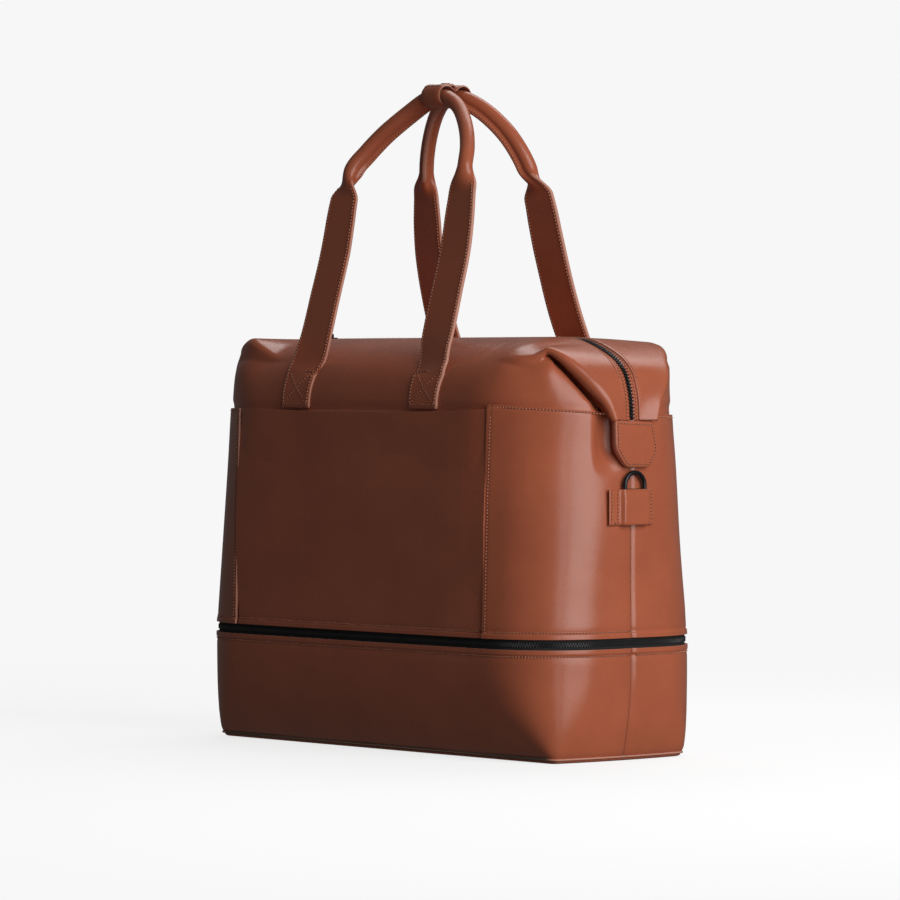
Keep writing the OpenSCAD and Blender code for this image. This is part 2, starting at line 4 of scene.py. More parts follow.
import bmesh
import bpy
import numpy as np
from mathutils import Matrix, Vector


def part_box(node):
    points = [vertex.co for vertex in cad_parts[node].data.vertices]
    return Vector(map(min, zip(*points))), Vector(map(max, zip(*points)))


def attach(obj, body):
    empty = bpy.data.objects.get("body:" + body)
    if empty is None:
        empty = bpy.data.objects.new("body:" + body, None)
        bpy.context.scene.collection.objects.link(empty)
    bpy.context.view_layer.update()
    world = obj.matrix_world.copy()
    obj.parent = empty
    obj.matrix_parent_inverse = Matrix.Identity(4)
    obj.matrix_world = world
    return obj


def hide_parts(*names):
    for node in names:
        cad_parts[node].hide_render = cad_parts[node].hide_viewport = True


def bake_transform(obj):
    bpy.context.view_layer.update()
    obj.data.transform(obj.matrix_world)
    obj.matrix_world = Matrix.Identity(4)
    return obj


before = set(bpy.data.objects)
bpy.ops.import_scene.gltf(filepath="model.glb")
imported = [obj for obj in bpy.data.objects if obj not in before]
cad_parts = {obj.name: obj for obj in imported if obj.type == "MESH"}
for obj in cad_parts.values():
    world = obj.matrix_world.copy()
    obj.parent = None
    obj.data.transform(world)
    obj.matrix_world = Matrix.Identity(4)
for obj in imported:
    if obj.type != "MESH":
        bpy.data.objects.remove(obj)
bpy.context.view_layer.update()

MM = 0.001

# ---------------------------------------------------------------- camera

CAMERA_AZIMUTH = math.radians(49.42)
CAMERA_PITCH = math.radians(-0.88)
CAMERA_DISTANCE = 4.2444
CAMERA_HEIGHT = 0.3122
CAMERA_SIDESTEP = 0.0031
CAMERA_LENS = 203.3


def make_camera():
    right = Vector((math.cos(CAMERA_AZIMUTH), math.sin(CAMERA_AZIMUTH), 0))
    ahead = Vector((-math.sin(CAMERA_AZIMUTH), math.cos(CAMERA_AZIMUTH), 0))
    up = Vector((0, 0, 1))
    data = bpy.data.cameras.new("camera")
    data.lens = CAMERA_LENS
    data.sensor_width = 36
    data.clip_end = 50
    cam = bpy.data.objects.new("camera", data)
    bpy.context.scene.collection.objects.link(cam)
    cam.location = up * CAMERA_HEIGHT + right * CAMERA_SIDESTEP - ahead * CAMERA_DISTANCE
    look = ahead * math.cos(CAMERA_PITCH) + up * math.sin(CAMERA_PITCH)
    cam.rotation_euler = look.to_track_quat("-Z", "Y").to_euler()
    bpy.context.scene.camera = cam


make_camera()

# ---------------------------------------------------------------- sizes, in millimetres


def span(node):
    low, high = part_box(node)
    return np.array(low) / MM, np.array(high) / MM


RIM = span("front_pocket_panel")[1][2]           # top edge of the pocket and corner panels
PANEL_FOOT = span("front_pocket_panel")[0][2]    # their lower edge, above the bottom zip
TRAY_TOP = span("tray_wall_front")[1][2]         # upper edge of the tray, under the bottom zip
TRAY_FOOT = span("tray_wall_front")[0][2]
ZIP_Z = (PANEL_FOOT + TRAY_TOP) / 2
TOP_Z = span("top_panel_front")[1][2]
TAB_FACE = span("end_tab_right")[0][0]           # where the end tab's leather starts, along X
PATCH_FACE = span("ring_patch_right")[0][0]
FOLD_Z = 316.0

ZIP_LEN, ZIP_DEP, ZIP_R = 450.0, 190.0, 58.0
BASE_LEN, BASE_DEP, BASE_R = 429.5, 139.0, 4.0
RIM_LEN, RIM_DEP, RIM_R = 416.0, 187.0, 66.0
BELLY, SIDE_BULGE, TOP_BULGE = -0.3, 3.8, 2.0
END_LOW, END_RIM = 5.0, 20.0
TUCK = 2.4
TOP_X = 160.0
SHOULDER_N, EAR_N = 2.4, 4.0
SEAM = 159.0
HIDE = 2.0
TRAY_SOFT = 2.3                          # how quickly the tray's wall rises to its full width
CORNER_N, CORNER_REACH = 2.45, 1.19      # squareness of the plan's corners, and their reach
FOOT_TURN = 1.25                         # how slowly the tray's corners open out from its sharp foot

# ---------------------------------------------------------------- materials


class Nodes:
    """Shorthand for building one material's node tree."""

    def __init__(self, name):
        self.material = bpy.data.materials.new(name)
        self.material.use_nodes = True
        self.tree = self.material.node_tree
        self.bsdf = self.tree.nodes["Principled BSDF"]
        self.coords = self.add("ShaderNodeTexCoord").outputs["Object"]

    def add(self, kind, **sockets):
        node = self.tree.nodes.new(kind)
        for key, value in sockets.items():
            node.inputs[key.replace("_", " ")].default_value = value
        return node

    def link(self, a, b):
        self.tree.links.new(a, b)

    def noise(self, scale, detail=4.0, rough=0.55):
        node = self.add("ShaderNodeTexNoise", Scale=scale, Detail=detail, Roughness=rough)
        self.link(self.coords, node.inputs["Vector"])
        return node.outputs["Fac"]

    def cells(self, scale, feature="F1"):
        node = self.add("ShaderNodeTexVoronoi", Scale=scale)
        node.feature = feature
        self.link(self.coords, node.inputs["Vector"])
        return node.outputs["Distance"]

    def ramp(self, value, stops):
        node = self.add("ShaderNodeValToRGB")
        while len(node.color_ramp.elements) < len(stops):
            node.color_ramp.elements.new(0.5)
        for element, (place, colour) in zip(node.color_ramp.elements, stops):
            element.position = place
            element.color = (*colour, 1)
        self.link(value, node.inputs["Fac"])
        return node.outputs["Color"]

    def scale_range(self, value, low, high):
        node = self.add("ShaderNodeMapRange", To_Min=low, To_Max=high)
        self.link(value, node.inputs["Value"])
        return node.outputs["Result"]

    def bump(self, height, strength, distance, below=None):
        node = self.add("ShaderNodeBump", Strength=strength, Distance=distance)
        self.link(height, node.inputs["Height"])
        if below:
            self.link(below, node.inputs["Normal"])
        return node.outputs["Normal"]


def leather(name, colour, rough=0.42, grain=1.0, spread=0.10):
    """Smooth full-grain leather: faint mottling, fine pebbled grain and a soft sheen."""
    n = Nodes(name)
    dark = tuple(c * (1 - spread) for c in colour)
    light = tuple(min(1, c * (1 + spread)) for c in colour)
    n.link(n.ramp(n.noise(14, 6, 0.6), [(0.3, dark), (0.7, light)]), n.bsdf.inputs["Base Color"])
    n.link(n.scale_range(n.noise(60, 3), rough - 0.06, rough + 0.06), n.bsdf.inputs["Roughness"])
    pores = n.bump(n.cells(1500), 0.10 * grain, 0.00012)
    creases = n.bump(n.noise(420, 5, 0.62), 0.12 * grain, 0.00025, pores)
    soft = n.bump(n.noise(26, 2, 0.5), 0.05, 0.0015, creases)
    n.link(soft, n.bsdf.inputs["Normal"])
    n.bsdf.inputs["Specular IOR Level"].default_value = 0.42
    n.bsdf.inputs["Sheen Weight"].default_value = 0.05
    n.bsdf.inputs["Sheen Roughness"].default_value = 0.4
    return n.material


def woven(name, colour, pitch, rough=0.8):
    """Plain weave from two crossed sets of ribs."""
    n = Nodes(name)
    n.bsdf.inputs["Roughness"].default_value = rough
    rib = n.add("ShaderNodeTexWave", Scale=pitch, Distortion=0.4)
    rib.bands_direction = "DIAGONAL"
    n.link(n.coords, rib.inputs["Vector"])
    dark = tuple(c * 0.7 for c in colour)
    n.link(n.ramp(rib.outputs["Fac"], [(0.2, dark), (0.8, colour)]), n.bsdf.inputs["Base Color"])
    n.link(n.bump(rib.outputs["Fac"], 0.5, 0.0003), n.bsdf.inputs["Normal"])
    return n.material


def satin(name, colour, rough, metallic=0.0):
    """Coated metal or moulded nylon with faint handling marks."""
    n = Nodes(name)
    n.bsdf.inputs["Metallic"].default_value = metallic
    light = tuple(c * 1.5 for c in colour)
    n.link(n.ramp(n.noise(90, 5), [(0.4, colour), (0.75, light)]), n.bsdf.inputs["Base Color"])
    n.link(n.scale_range(n.noise(300, 3), rough - 0.05, rough + 0.08), n.bsdf.inputs["Roughness"])
    n.link(n.bump(n.noise(900, 2), 0.05, 0.0001), n.bsdf.inputs["Normal"])
    return n.material


COGNAC = leather("cognac_leather", (0.41, 0.106, 0.050), rough=0.27)
EDGE = leather("edge_paint", (0.52, 0.235, 0.165), rough=0.5, grain=0.4)
THREAD = woven("thread", (0.70, 0.28, 0.165), 1800)
# Painted shade: near-black discs stand in for the shade inside the punched stitch holes
HOLE_SHADE = satin("needle_hole_shade", (0.035, 0.012, 0.008), 0.8)
CLOTH = woven("lining_cloth", (0.10, 0.06, 0.04), 900)
TAPE = woven("zip_tape", (0.012, 0.011, 0.011), 1200)
BOARD = leather("fibreboard", (0.14, 0.10, 0.075), rough=0.75, grain=2.0)
TEETH = satin("zip_teeth", (0.012, 0.012, 0.013), 0.30)
METAL = satin("black_metal", (0.016, 0.016, 0.018), 0.28, 0.6)

# ---------------------------------------------------------------- the body's surface


def lerp(a, b, t):
    return a + (b - a) * t


def smooth(t):
    t = np.clip(t, 0, 1)
    return t * t * (3 - 2 * t)


def unit(v):
    return v / np.linalg.norm(v, axis=-1)[..., None]


def wall(z):
    """Half length, half depth, corner radius, end bulge and side bulge at height z."""
    z = np.asarray(z, float)
    low = z <= ZIP_Z
    t = np.clip(np.where(low, z / ZIP_Z, (z - ZIP_Z) / (RIM - ZIP_Z)), 0, 1.05)
    t = np.where(low, 1 - (1 - np.clip(t, 0, 1)) ** TRAY_SOFT, t)
    a = np.where(low, lerp(BASE_LEN, ZIP_LEN, t), lerp(ZIP_LEN, RIM_LEN, t)) / 2
    b = np.where(low, lerp(BASE_DEP, ZIP_DEP, t), lerp(ZIP_DEP, RIM_DEP, t)) / 2
    b = b + np.where(low, 0, BELLY * np.sin(np.pi * np.clip(t, 0, 1)))
    r = np.where(low, lerp(BASE_R, ZIP_R, t ** FOOT_TURN), lerp(ZIP_R, RIM_R, t))
    e = np.where(low, END_LOW, lerp(END_LOW, END_RIM, t))
    f = np.where(low, SIDE_BULGE * t, SIDE_BULGE)
    return a, b, r * CORNER_REACH, e, f


TURN = np.linspace(0, np.pi / 2, 400)
ARC_X, ARC_Y = np.sin(TURN) ** (2 / CORNER_N), np.clip(np.cos(TURN), 0, 1) ** (2 / CORNER_N)
ARC_AT = np.concatenate([[0], np.cumsum(np.hypot(np.diff(ARC_X), np.diff(ARC_Y)))])
ARC = ARC_AT[-1]                         # length of a rounded corner of unit reach


def quarter_length(a, b, r):
    return a - r + r * ARC + b - r


def wall_quarter(z):
    """Length of a quarter of the body's outline at height z."""
    return quarter_length(*wall(z)[:3])


def ring(s, z, d, section, side):
    """Points at signed arc length s from the middle of a long side, set in by d.
    side is -1 for the front and 1 for the back."""
    a, b, r, e, f = section
    m = np.abs(s)
    flat = a - r
    arc = r * ARC
    turned = np.clip((m - flat) / r, 0, ARC)
    across, ahead = np.interp(turned, ARC_AT, ARC_X), np.interp(turned, ARC_AT, ARC_Y)
    x = np.where(m <= flat, m, flat + r * across)
    y = b - r + r * ahead - np.clip(m - flat - arc, 0, None)
    nx, ny = across ** (CORNER_N - 1), ahead ** (CORNER_N - 1)
    size = np.sqrt(nx ** 2 + ny ** 2)
    x, y = x - d * nx / size, y - d * ny / size
    bx = x * (1 + e / a * (1 - (y / b) ** 2))
    by = y * (1 + f / b * (1 - (x / a) ** 4))
    return np.stack(np.broadcast_arrays(np.where(s < 0, -1, 1) * bx, side * by, z), -1)


def fall(t, n):
    return np.clip(1 - np.clip(t, 0, 1) ** n, 0, None) ** (1 / n)


def waves(p, size):
    """Slow, shallow unevenness of stretched leather."""
    x, y, z = p[..., 0], p[..., 1], p[..., 2]
    return size * (np.sin(x / 31 + z / 47 + 1.3) * np.sin(z / 39 - y / 53 + 0.7)
                   + 0.6 * np.sin(x / 17 - z / 23 + y / 29))


# ---------------------------------------------------------------- mesh helpers


def new_object(name, points, faces, materials):
    mesh = bpy.data.meshes.new(name)
    mesh.from_pydata((np.asarray(points).reshape(-1, 3) * MM).tolist(), [], faces)
    for material in materials:
        mesh.materials.append(material)
    obj = bpy.data.objects.new(name, mesh)
    bpy.context.scene.collection.objects.link(obj)
    for polygon in mesh.polygons:
        polygon.use_smooth = True
    return obj


def fix_normals(obj):
    mesh = bmesh.new()
    mesh.from_mesh(obj.data)
    bmesh.ops.recalc_face_normals(mesh, faces=mesh.faces)
    mesh.to_mesh(obj.data)
    mesh.free()


def grid_faces(nu, nv, wrap_u=False, wrap_v=False):
    rows = nu if wrap_u else nu - 1
    columns = nv if wrap_v else nv - 1
    return [(i * nv + j, (i + 1) % nu * nv + j, (i + 1) % nu * nv + (j + 1) % nv, i * nv + (j + 1) % nv)
            for i in range(rows) for j in range(columns)]


def band_faces(rows, count, base=0):
    """Quads between rows of count points each, closed round."""
    return [(a, b, b + count, a + count)
            for j in range(rows - 1)
            for a, b in ((base + j * count + k, base + j * count + (k + 1) % count) for k in range(count))]


def sheet_of(name, grid, away, thick=HIDE, round_edge=0.5, materials=None):
    """A leather piece from a grid of points on its outer face; away is a point behind it."""
    nu, nv = grid.shape[:2]
    faces = grid_faces(nu, nv)
    i, j = nu // 2, nv // 2
    normal = np.cross(grid[i + 1, j] - grid[i - 1, j], grid[i, j + 1] - grid[i, j - 1])
    if normal @ (grid[i, j] - np.asarray(away, float)) < 0:
        faces = [f[::-1] for f in faces]
    obj = new_object(name, grid, faces, materials or [COGNAC, EDGE])
    solid = obj.modifiers.new("thickness", "SOLIDIFY")
    solid.thickness = thick * MM
    solid.offset = -1
    solid.material_offset_rim = 1
    if round_edge:
        bevel = obj.modifiers.new("edge", "BEVEL")
        bevel.width = round_edge * MM
        bevel.segments = 2
        bevel.limit_method = "ANGLE"
        bevel.angle_limit = math.radians(50)
    return obj


def put(obj, body, slot, *nodes):
    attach(obj, body)
    if nodes:
        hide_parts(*nodes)
    return obj


def blended(obj, body_a, body_b, start, end, slot, *nodes):
    for modifier in list(obj.modifiers):
        with bpy.context.temp_override(object=obj, active_object=obj, selected_objects=[obj]):
            bpy.ops.object.modifier_apply(modifier=modifier.name)
    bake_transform(obj)
    if nodes:
        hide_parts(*nodes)
    return obj


def distances(points):
    """How far along a line each of its points lies."""
    steps = np.linalg.norm(np.diff(points, axis=0), axis=1)
    return np.concatenate([[0], np.cumsum(steps)])


def sample(values, total, at):
    """Rows of values, known at the distances total, read at the distances at."""
    return np.stack([np.interp(at, total, column) for column in values.T], -1)


def evenly(path, count):
    """The path again, as count evenly spaced points."""
    total = distances(path)
    return sample(path, total, np.linspace(0, total[-1], count))


def resample(points, normals, step):
    """Evenly spaced points, directions and normals along a line."""
    total = distances(points)
    count = max(2, int(total[-1] / step))
    at = (np.arange(count) + 0.5) * total[-1] / count
    ahead = sample(points, total, at + 0.5)
    behind = sample(points, total, at - 0.5)
    return sample(points, total, at), unit(ahead - behind), unit(sample(normals, total, at))


STITCH_STEP = 2.7
STITCH_LEN = 1.9
STITCH_R = 0.46
STITCH_RISE = 0.22
STITCH_SIDES = 6
STITCH_SLOT = "edge_paint"
HOLE_SHADE_R = 0.58
STITCH_RINGS = [(-0.5, 0.25, -0.35), (-0.36, 0.85, -0.05), (0.0, 1.0, 0.10), (0.36, 0.85, -0.05),
                (0.5, 0.25, -0.35)]


def stitches(name, lines, step=STITCH_STEP, length=STITCH_LEN, radius=STITCH_R):
    """Rows of thread stitches, each a bowed capsule half sunk in the leather."""
    points, faces = [], []
    sides = STITCH_SIDES
    for line, normals in lines:
        place, along, facing = resample(np.asarray(line, float), np.asarray(normals, float), step)
        across = np.cross(along, facing)
        across /= np.linalg.norm(across, axis=1)[:, None]
        facing = np.cross(across, along)
        for p, t, w, n in zip(place, along, across, facing):
            base = len(points)
            for shift, wide, lift in STITCH_RINGS:
                centre = p + t * shift * length + n * (lift + STITCH_RISE)
                for k in range(sides):
                    g = 2 * math.pi * k / sides
                    points.append(centre + (w * math.cos(g) + n * math.sin(g)) * radius * wide)
            last = len(STITCH_RINGS) - 1
            faces.append([base + k for k in range(sides)][::-1])
            faces.append([base + last * sides + k for k in range(sides)])
            faces += band_faces(last + 1, sides, base)
    thread_count = len(faces)
    # Each row also gets its punched holes as dark discs of painted shade
    for line, normals in lines:
        hole_shades(points, faces, np.asarray(line, float), np.asarray(normals, float), step)
    obj = new_object(name, points, faces, [THREAD, HOLE_SHADE])
    for polygon in obj.data.polygons:
        polygon.material_index = int(polygon.index >= thread_count)
    fix_normals(obj)
    return obj


def hole_shades(points, faces, line, normals, step):
    """Painted shade of the punched holes that the thread dives into: a dark disc, one between each two
    stitches.
    """
    place, along, facing = resample(line, normals, step)
    gap = np.linalg.norm(place[1] - place[0]) / 2
    for p, t, n in zip(place, along, facing):
        w = np.cross(t, n)
        base = len(points)
        for size, rise in ((1.0, -0.3), (0.9, 0.16)):
            for k in range(STITCH_SIDES):
                g = 2 * math.pi * k / STITCH_SIDES
                side = t * math.cos(g) * 1.1 + w * math.sin(g)
                points.append(p + t * gap + side * HOLE_SHADE_R * size + n * rise)
        faces.append([base + k for k in range(STITCH_SIDES)][::-1])
        faces.append([base + STITCH_SIDES + k for k in range(STITCH_SIDES)])
        faces += band_faces(2, STITCH_SIDES, base)


def surface_line(function, us, vs, lift=0.0):
    """A line on a surface function(u, v, d) with its outward normals."""
    p = function(us, vs, -lift)
    n = function(us, vs, -lift - 1.0) - p
    return p, n / np.linalg.norm(n, axis=-1)[:, None]


def groove(distance, deep, wide):
    return deep * np.exp(-(distance / wide) ** 2)


# ---------------------------------------------------------------- tray: the shoe compartment


def tray_surface(side):
    def at(u, z, d):
        section = wall(z)
        length = quarter_length(*section[:3])
        return ring(u * length, z, d, section, side)
    return at


TRAY_HEM = 5.4                           # how far the hem's stitches lie below the tray's edge


def make_tray():
    us = np.linspace(-1, 1, 201)
    zs = np.concatenate([[TRAY_FOOT - 1.2, TRAY_FOOT - 0.6], np.linspace(TRAY_FOOT, TRAY_TOP - 6, 26),
                         np.linspace(TRAY_TOP - 5, TRAY_TOP, 9)])
    u, z = np.meshgrid(us, zs, indexing="ij")
    length = wall_quarter(z)
    for side, name in ((-1, "front"), (1, "back")):
        at = tray_surface(side)
        from_end = (1 - np.abs(u)) * length
        depth = groove(from_end, 1.3, 1.4) + groove(from_end, 0.5, 7)
        depth += groove(z - TRAY_FOOT + 1.2, 1.2, 1.6)
        depth += groove(z - (TRAY_TOP - TRAY_HEM), 0.5, 1.0) - 0.55 * smooth((z - TRAY_TOP + 4.6) / 1.2)
        body = at(u, z, 0 * u)
        depth += waves(body, 0.22) * smooth((TRAY_TOP - 8 - z) / 20)
        grid = at(u * (1 - 0.0004), z, depth)
        obj = sheet_of(f"tray_wall_{name}_leather", grid, (0, 0, 50))
        put(obj, "tray", "cognac_leather", f"tray_wall_{name}")
    us = np.linspace(-0.985, 0.985, 400)
    rows = [surface_line(tray_surface(-1), us, np.full(400, TRAY_TOP - TRAY_HEM), -0.3)]
    for end in (-1, 1):
        us = end * np.linspace(0.62, 0.985, 120)
        rows.append(surface_line(tray_surface(1), us, np.full(120, TRAY_TOP - TRAY_HEM), -0.3))
    put(stitches("tray_hem_stitches", rows), "tray", STITCH_SLOT)


# ---------------------------------------------------------------- main body walls


def corner_surface(side, end):
    """u runs from 0 at the long side's seam to 1 at the middle of the end."""
    def at(u, z, d):
        section = wall(z)
        s = lerp(SEAM, quarter_length(*section[:3]), u)
        return ring(end * s, z, d, section, side)
    return at


def long_surface(side):
    def at(s, z, d):
        return ring(s, z, d, wall(z), side)
    return at


TAB_HOLLOW, TAB_HOLLOW_HALF, TAB_HOLLOW_FOOT = 8.5, 39.0, 226.0


def tab_hollow(from_end, z):
    """Depth of the channel beside the end tab, where the corner folds in."""
    across = smooth((from_end - 6) / 16) * smooth((TAB_HOLLOW_HALF - from_end) / 15)
    return TAB_HOLLOW * across * smooth((z - TAB_HOLLOW_FOOT) / 30)


HEM, RIM_ROW, SEAM_ROW = 5.2, 2.3, 3.2   # stitch rows, from the lower edge, the rim and the seam


def hem_rows(low, high, count):
    return np.concatenate([np.linspace(low, low + 5, 9), np.linspace(low + 6.5, high - 6, count),
                           np.linspace(high - 5, high, 7)])


def hem_depth(z):
    """Stitched channel and thick folded lip along the bottom zip."""
    return groove(z - (PANEL_FOOT + HEM), 0.5, 1.0) - 0.55 * smooth((PANEL_FOOT + 4.6 - z) / 1.2)


RISE = {(-1, 1): (5.2, -1.0), (1, 1): (-4.4, -2.2), (-1, -1): (0.4, 0.0), (1, -1): (0.0, 0.0)}
POCKET_SAG = 2.5


def rim_rise(side, end, u):
    """How far the corner panel's top edge stands above the rim; u is 1 at the middle of the end."""
    at_seam, at_end = RISE[side, end]
    return at_seam + (at_end - at_seam) * smooth(u)


def make_corner(side, end):
    us = np.concatenate([np.linspace(0, 0.06, 9), np.linspace(0.075, 1, 44)])
    u, z = np.meshgrid(us, hem_rows(PANEL_FOOT, RIM, 44), indexing="ij")
    at = corner_surface(side, end)
    length = wall_quarter(z) - SEAM
    from_seam, from_end = u * length, (1 - u) * length
    depth = groove(from_end, 1.2, 1.3) + groove(from_end, 0.6, 8)
    if (side, end) == (-1, 1):
        depth += tab_hollow(from_end, z)
    depth -= 1.15 * np.exp(-(from_seam / 9) ** 2)
    depth += groove(from_seam - SEAM_ROW, 0.3, 0.8)
    depth += hem_depth(z) + groove(z - (RIM - RIM_ROW), 0.4, 0.9)
    body = at(u, z, 0 * u)
    flat = smooth((z - PANEL_FOOT - 8) / 20) * smooth((RIM - 5 - z) / 20)
    depth += waves(body, 0.35) * smooth((from_seam - 5) / 30) * flat
    u = u * (1 - 0.001)
    grid = at(u, z, depth)
    grid[..., 2] += rim_rise(side, end, u) * smooth((z - RIM + 40) / 36)
    return sheet_of("corner", grid, (0, 0, 190))


def make_long_panel(side, lift):
    ss = np.concatenate([np.linspace(-SEAM - 1.0, -SEAM + 6, 9), np.linspace(-148, 148, 75),
                         np.linspace(SEAM - 6, SEAM + 1.0, 9)])
    s, z = np.meshgrid(ss, hem_rows(PANEL_FOOT, RIM + 0.4, 44), indexing="ij")
    at = long_surface(side)
    from_seam = SEAM - np.abs(s)
    depth = groove(np.clip(from_seam, 0, None), 1.2, 2.2) + groove(from_seam, 0.5, 12)
    depth += hem_depth(z)
    body = at(s, z, 0 * s)
    flat = smooth((z - PANEL_FOOT - 8) / 20) * smooth((RIM - 5 - z) / 20)
    depth += waves(body, 0.35) * smooth(from_seam / 30) * flat
    slack = np.clip(1 - (s / SEAM) ** 2, 0, 1) * smooth((z - RIM + 40) / 40)
    depth -= lift * slack
    grid = at(s, z, depth)
    grid[..., 2] -= lift * POCKET_SAG * slack ** 2
    grid[..., 2] += 1.2 * smooth((s - SEAM + 40) / 40) * smooth((z - RIM + 30) / 30) * lift
    return sheet_of("long", grid, (0, 0, 190))


def make_walls():
    for side, side_name in ((-1, "front"), (1, "back")):
        for end, end_name in ((1, "right"), (-1, "left")):
            obj = make_corner(side, end)
            obj.name = f"side_{side_name}_{end_name}_leather"
            put(obj, "main_body", "cognac_leather", f"side_panel_{side_name}_{end_name}")
    pocket = make_long_panel(-1, 0.9)
    pocket.name = "front_pocket_leather"
    put(pocket, "main_body", "cognac_leather", "front_pocket_panel")
    back = make_long_panel(1, 0.0)
    back.name = "back_panel_leather"
    put(back, "main_body", "cognac_leather", "back_panel")


def make_wall_stitches():
    rows = []
    for side in (-1, 1):
        for end in (-1, 1):
            at = corner_surface(side, end)
            us = np.linspace(0.015, 0.86, 90)
            line, facing = surface_line(at, us, np.full(90, RIM - RIM_ROW), -0.2)
            line[:, 2] += rim_rise(side, end, us)
            rows.append((line, facing))
            low = np.linspace(0.02, 0.975, 90)
            if side < 0:
                rows.append(surface_line(at, low, np.full(90, PANEL_FOOT + HEM), -0.3))
            zs = np.linspace(PANEL_FOOT + 3, RIM - 4, 90)
            length = wall_quarter(zs) - SEAM
            rows.append(surface_line(at, SEAM_ROW / length, zs, 0.75))
    ss = np.linspace(-SEAM + 4, SEAM - 4, 120)
    rows.append(surface_line(long_surface(-1), ss, np.full(120, PANEL_FOOT + HEM), -0.3))
    rows.append(surface_line(long_surface(1), ss, np.full(120, RIM - RIM_ROW), -0.2))
    put(stitches("wall_stitches", rows), "main_body", STITCH_SLOT)


make_tray()
make_walls()
make_wall_stitches()

# ---------------------------------------------------------------- top panels with their end folds

CLIP = 7.2
RIM_SWELL = 1.3
TOP_HALF_DEP = RIM_DEP / 2 - TUCK
TOP_HALF_LEN = RIM_LEN / 2 - TUCK
TOP_R = RIM_R * CORNER_REACH - TUCK


def dome(w):
    """Section of the rounded top: w runs from 0 at the rim to 1 at the flat."""
    w = np.asarray(w, float)
    sine = np.sin(np.pi / 2 * w)
    cosine = np.clip(np.cos(np.pi / 2 * w), 0, None)
    rise = sine ** (2 / SHOULDER_N)
    b = CLIP + (TOP_HALF_DEP - CLIP) * cosine ** (2 / SHOULDER_N)
    a = TOP_X + (TOP_HALF_LEN - TOP_X) * fall(rise, EAR_N)
    e = END_RIM - 24 * rise - 16 * rise ** 2
    r = 0.4 + (TOP_R - 0.4) * (b - CLIP) / (TOP_HALF_DEP - CLIP)
    z = RIM + (TOP_Z - RIM) * rise
    over = RIM_SWELL * smooth(w / 0.06)
    return (a + over, b + over, r, e, TOP_BULGE * cosine), z


def dome_point(w, s, recess=0.0):
    """Point on the top; the corners under the folds are fuller than the plain section."""
    section, z = dome(w)
    u = s / quarter_length(*section[:3])
    full = 7.5 * np.exp(-((u - 0.70) / 0.09) ** 2) * smooth(w / 0.5) * smooth((1 - w) / 0.3)
    return ring(s, z, recess - full, section, -1)


def rise_to_w(z):
    rise = np.clip((z - RIM) / (TOP_Z - RIM), 0, 1)
    return 2 / np.pi * np.arcsin(rise ** (SHOULDER_N / 2))


def spline(points, t):
    """Catmull-Rom curve through points, one per whole number of t."""
    p = np.asarray(points, float)
    t = np.clip(np.asarray(t, float), 0, len(p) - 1)
    i = np.minimum(t.astype(int), len(p) - 2)
    u = (t - i)[..., None]
    a, b, c = p[np.maximum(i - 1, 0)], p[i], p[i + 1]
    d = p[np.minimum(i + 2, len(p) - 1)]
    a = np.where((i == 0)[..., None], 2 * b - c, a)
    d = np.where((i == len(p) - 2)[..., None], 2 * c - b, d)
    return 0.5 * (2 * b + (c - a) * u + (2 * a - 5 * b + 4 * c - d) * u ** 2
                  + (3 * b - 3 * c + d - a) * u ** 3)


# Columns of the fold, from where it starts to the end tab: the edge beside the zip (x, z), the
# outer edge of the flap (x, y, z), the inner fold under it (share of the rim, z), the radius of
# the rolled edge, and how far each column has left the plain rounded top
FOLD_ZIP = [(112, 340.5), (132, 340.5), (150, 340.4), (164, 339.8), (176, 338.0), (190.7, 333.1),
            (205.1, 326.6), (214.6, 320.1), (222.6, 310.7), (227.0, 298.7), (229.2, 287.7), (230, 273.7)]
OPEN_EDGE = [(112, 79, 320), (132, 78, 322), (150, 75, 325), (166, 70.5, 327.5), (181, 64.5, 329.6),
             (193, 59, 330.8), (203, 54.5, 326), (211, 49.5, 318.6), (218.5, 43.5, 310), (227, 36.6, 300),
             (232.4, 29, 289.0), (235.2, 22, 273.5)]
FULL_EDGE = [(112, 77, 327), (132, 75, 332.5), (150, 75, 339), (164, 74, 339.6), (176, 71.5, 337.6),
             (187, 68, 333.5), (198, 61, 328), (209, 52, 320.5), (219, 46, 312), (227, 38.5, 302),
             (232.4, 29, 289.0), (235.2, 22, 273.5)]
OPEN_IN = [(0.41, 312), (0.49, 315), (0.56, 319), (0.63, 322), (0.715, 325.5), (0.775, 326.5),
           (0.792, 323), (0.815, 317), (0.838, 309), (0.868, 298.5), (0.893, 289), (0.915, 284)]
# the back right fold is FULL_EDGE let out and dropped by these amounts
LOW_OUT = [0, 0, 0.5, 2, 3, 4, 4.5, 4, 2.5, 1, 0, 0]
LOW_DROP = [0, 1, 3, 4.5, 4.5, 2.5, 1.5, 0, 0, 0, 0, 0]
LOW_EDGE = [(x, y + out, z - drop) for (x, y, z), out, drop in zip(FULL_EDGE, LOW_OUT, LOW_DROP)]
FULL_IN = [(0.41, 312), (0.49, 316), (0.56, 320), (0.62, 323), (0.68, 325), (0.74, 323),
           (0.79, 318), (0.84, 312), (0.88, 305), (0.92, 298), (0.955, 291), (0.997, 286)]
OPEN_ROLL = [9, 9, 9, 8, 5.0, 3.2, 3.9, 5.2, 6.2, 6.4, 5.4, 3.0]
POCKET_DEPTHS = [0, 0, 0, 0, 0, 4, 10, 12, 12, 12, 11, 9]
FULL_ROLL = [7, 7.5, 8, 8, 7.5, 6.5, 5.5, 4.5, 4.0, 3.5, 2.8, 1.8]
OPEN_SHARE = [0, 0, 0.02, 0.16, 0.6, 1, 1, 1, 1, 1, 1, 1]
FULL_SHARE = [0, 0.14, 0.5, 0.85, 1, 1, 1, 1, 1, 1, 1, 1]
FULLNESS = [1, 1, 1, 1, 1, 1, 0.8, 0.5, 0.2, 0, 0, 0]
OPEN_FULLNESS = [1, 1, 1, 1, 0.75, 0.12, 0, 0, 0, 0, 0, 0]
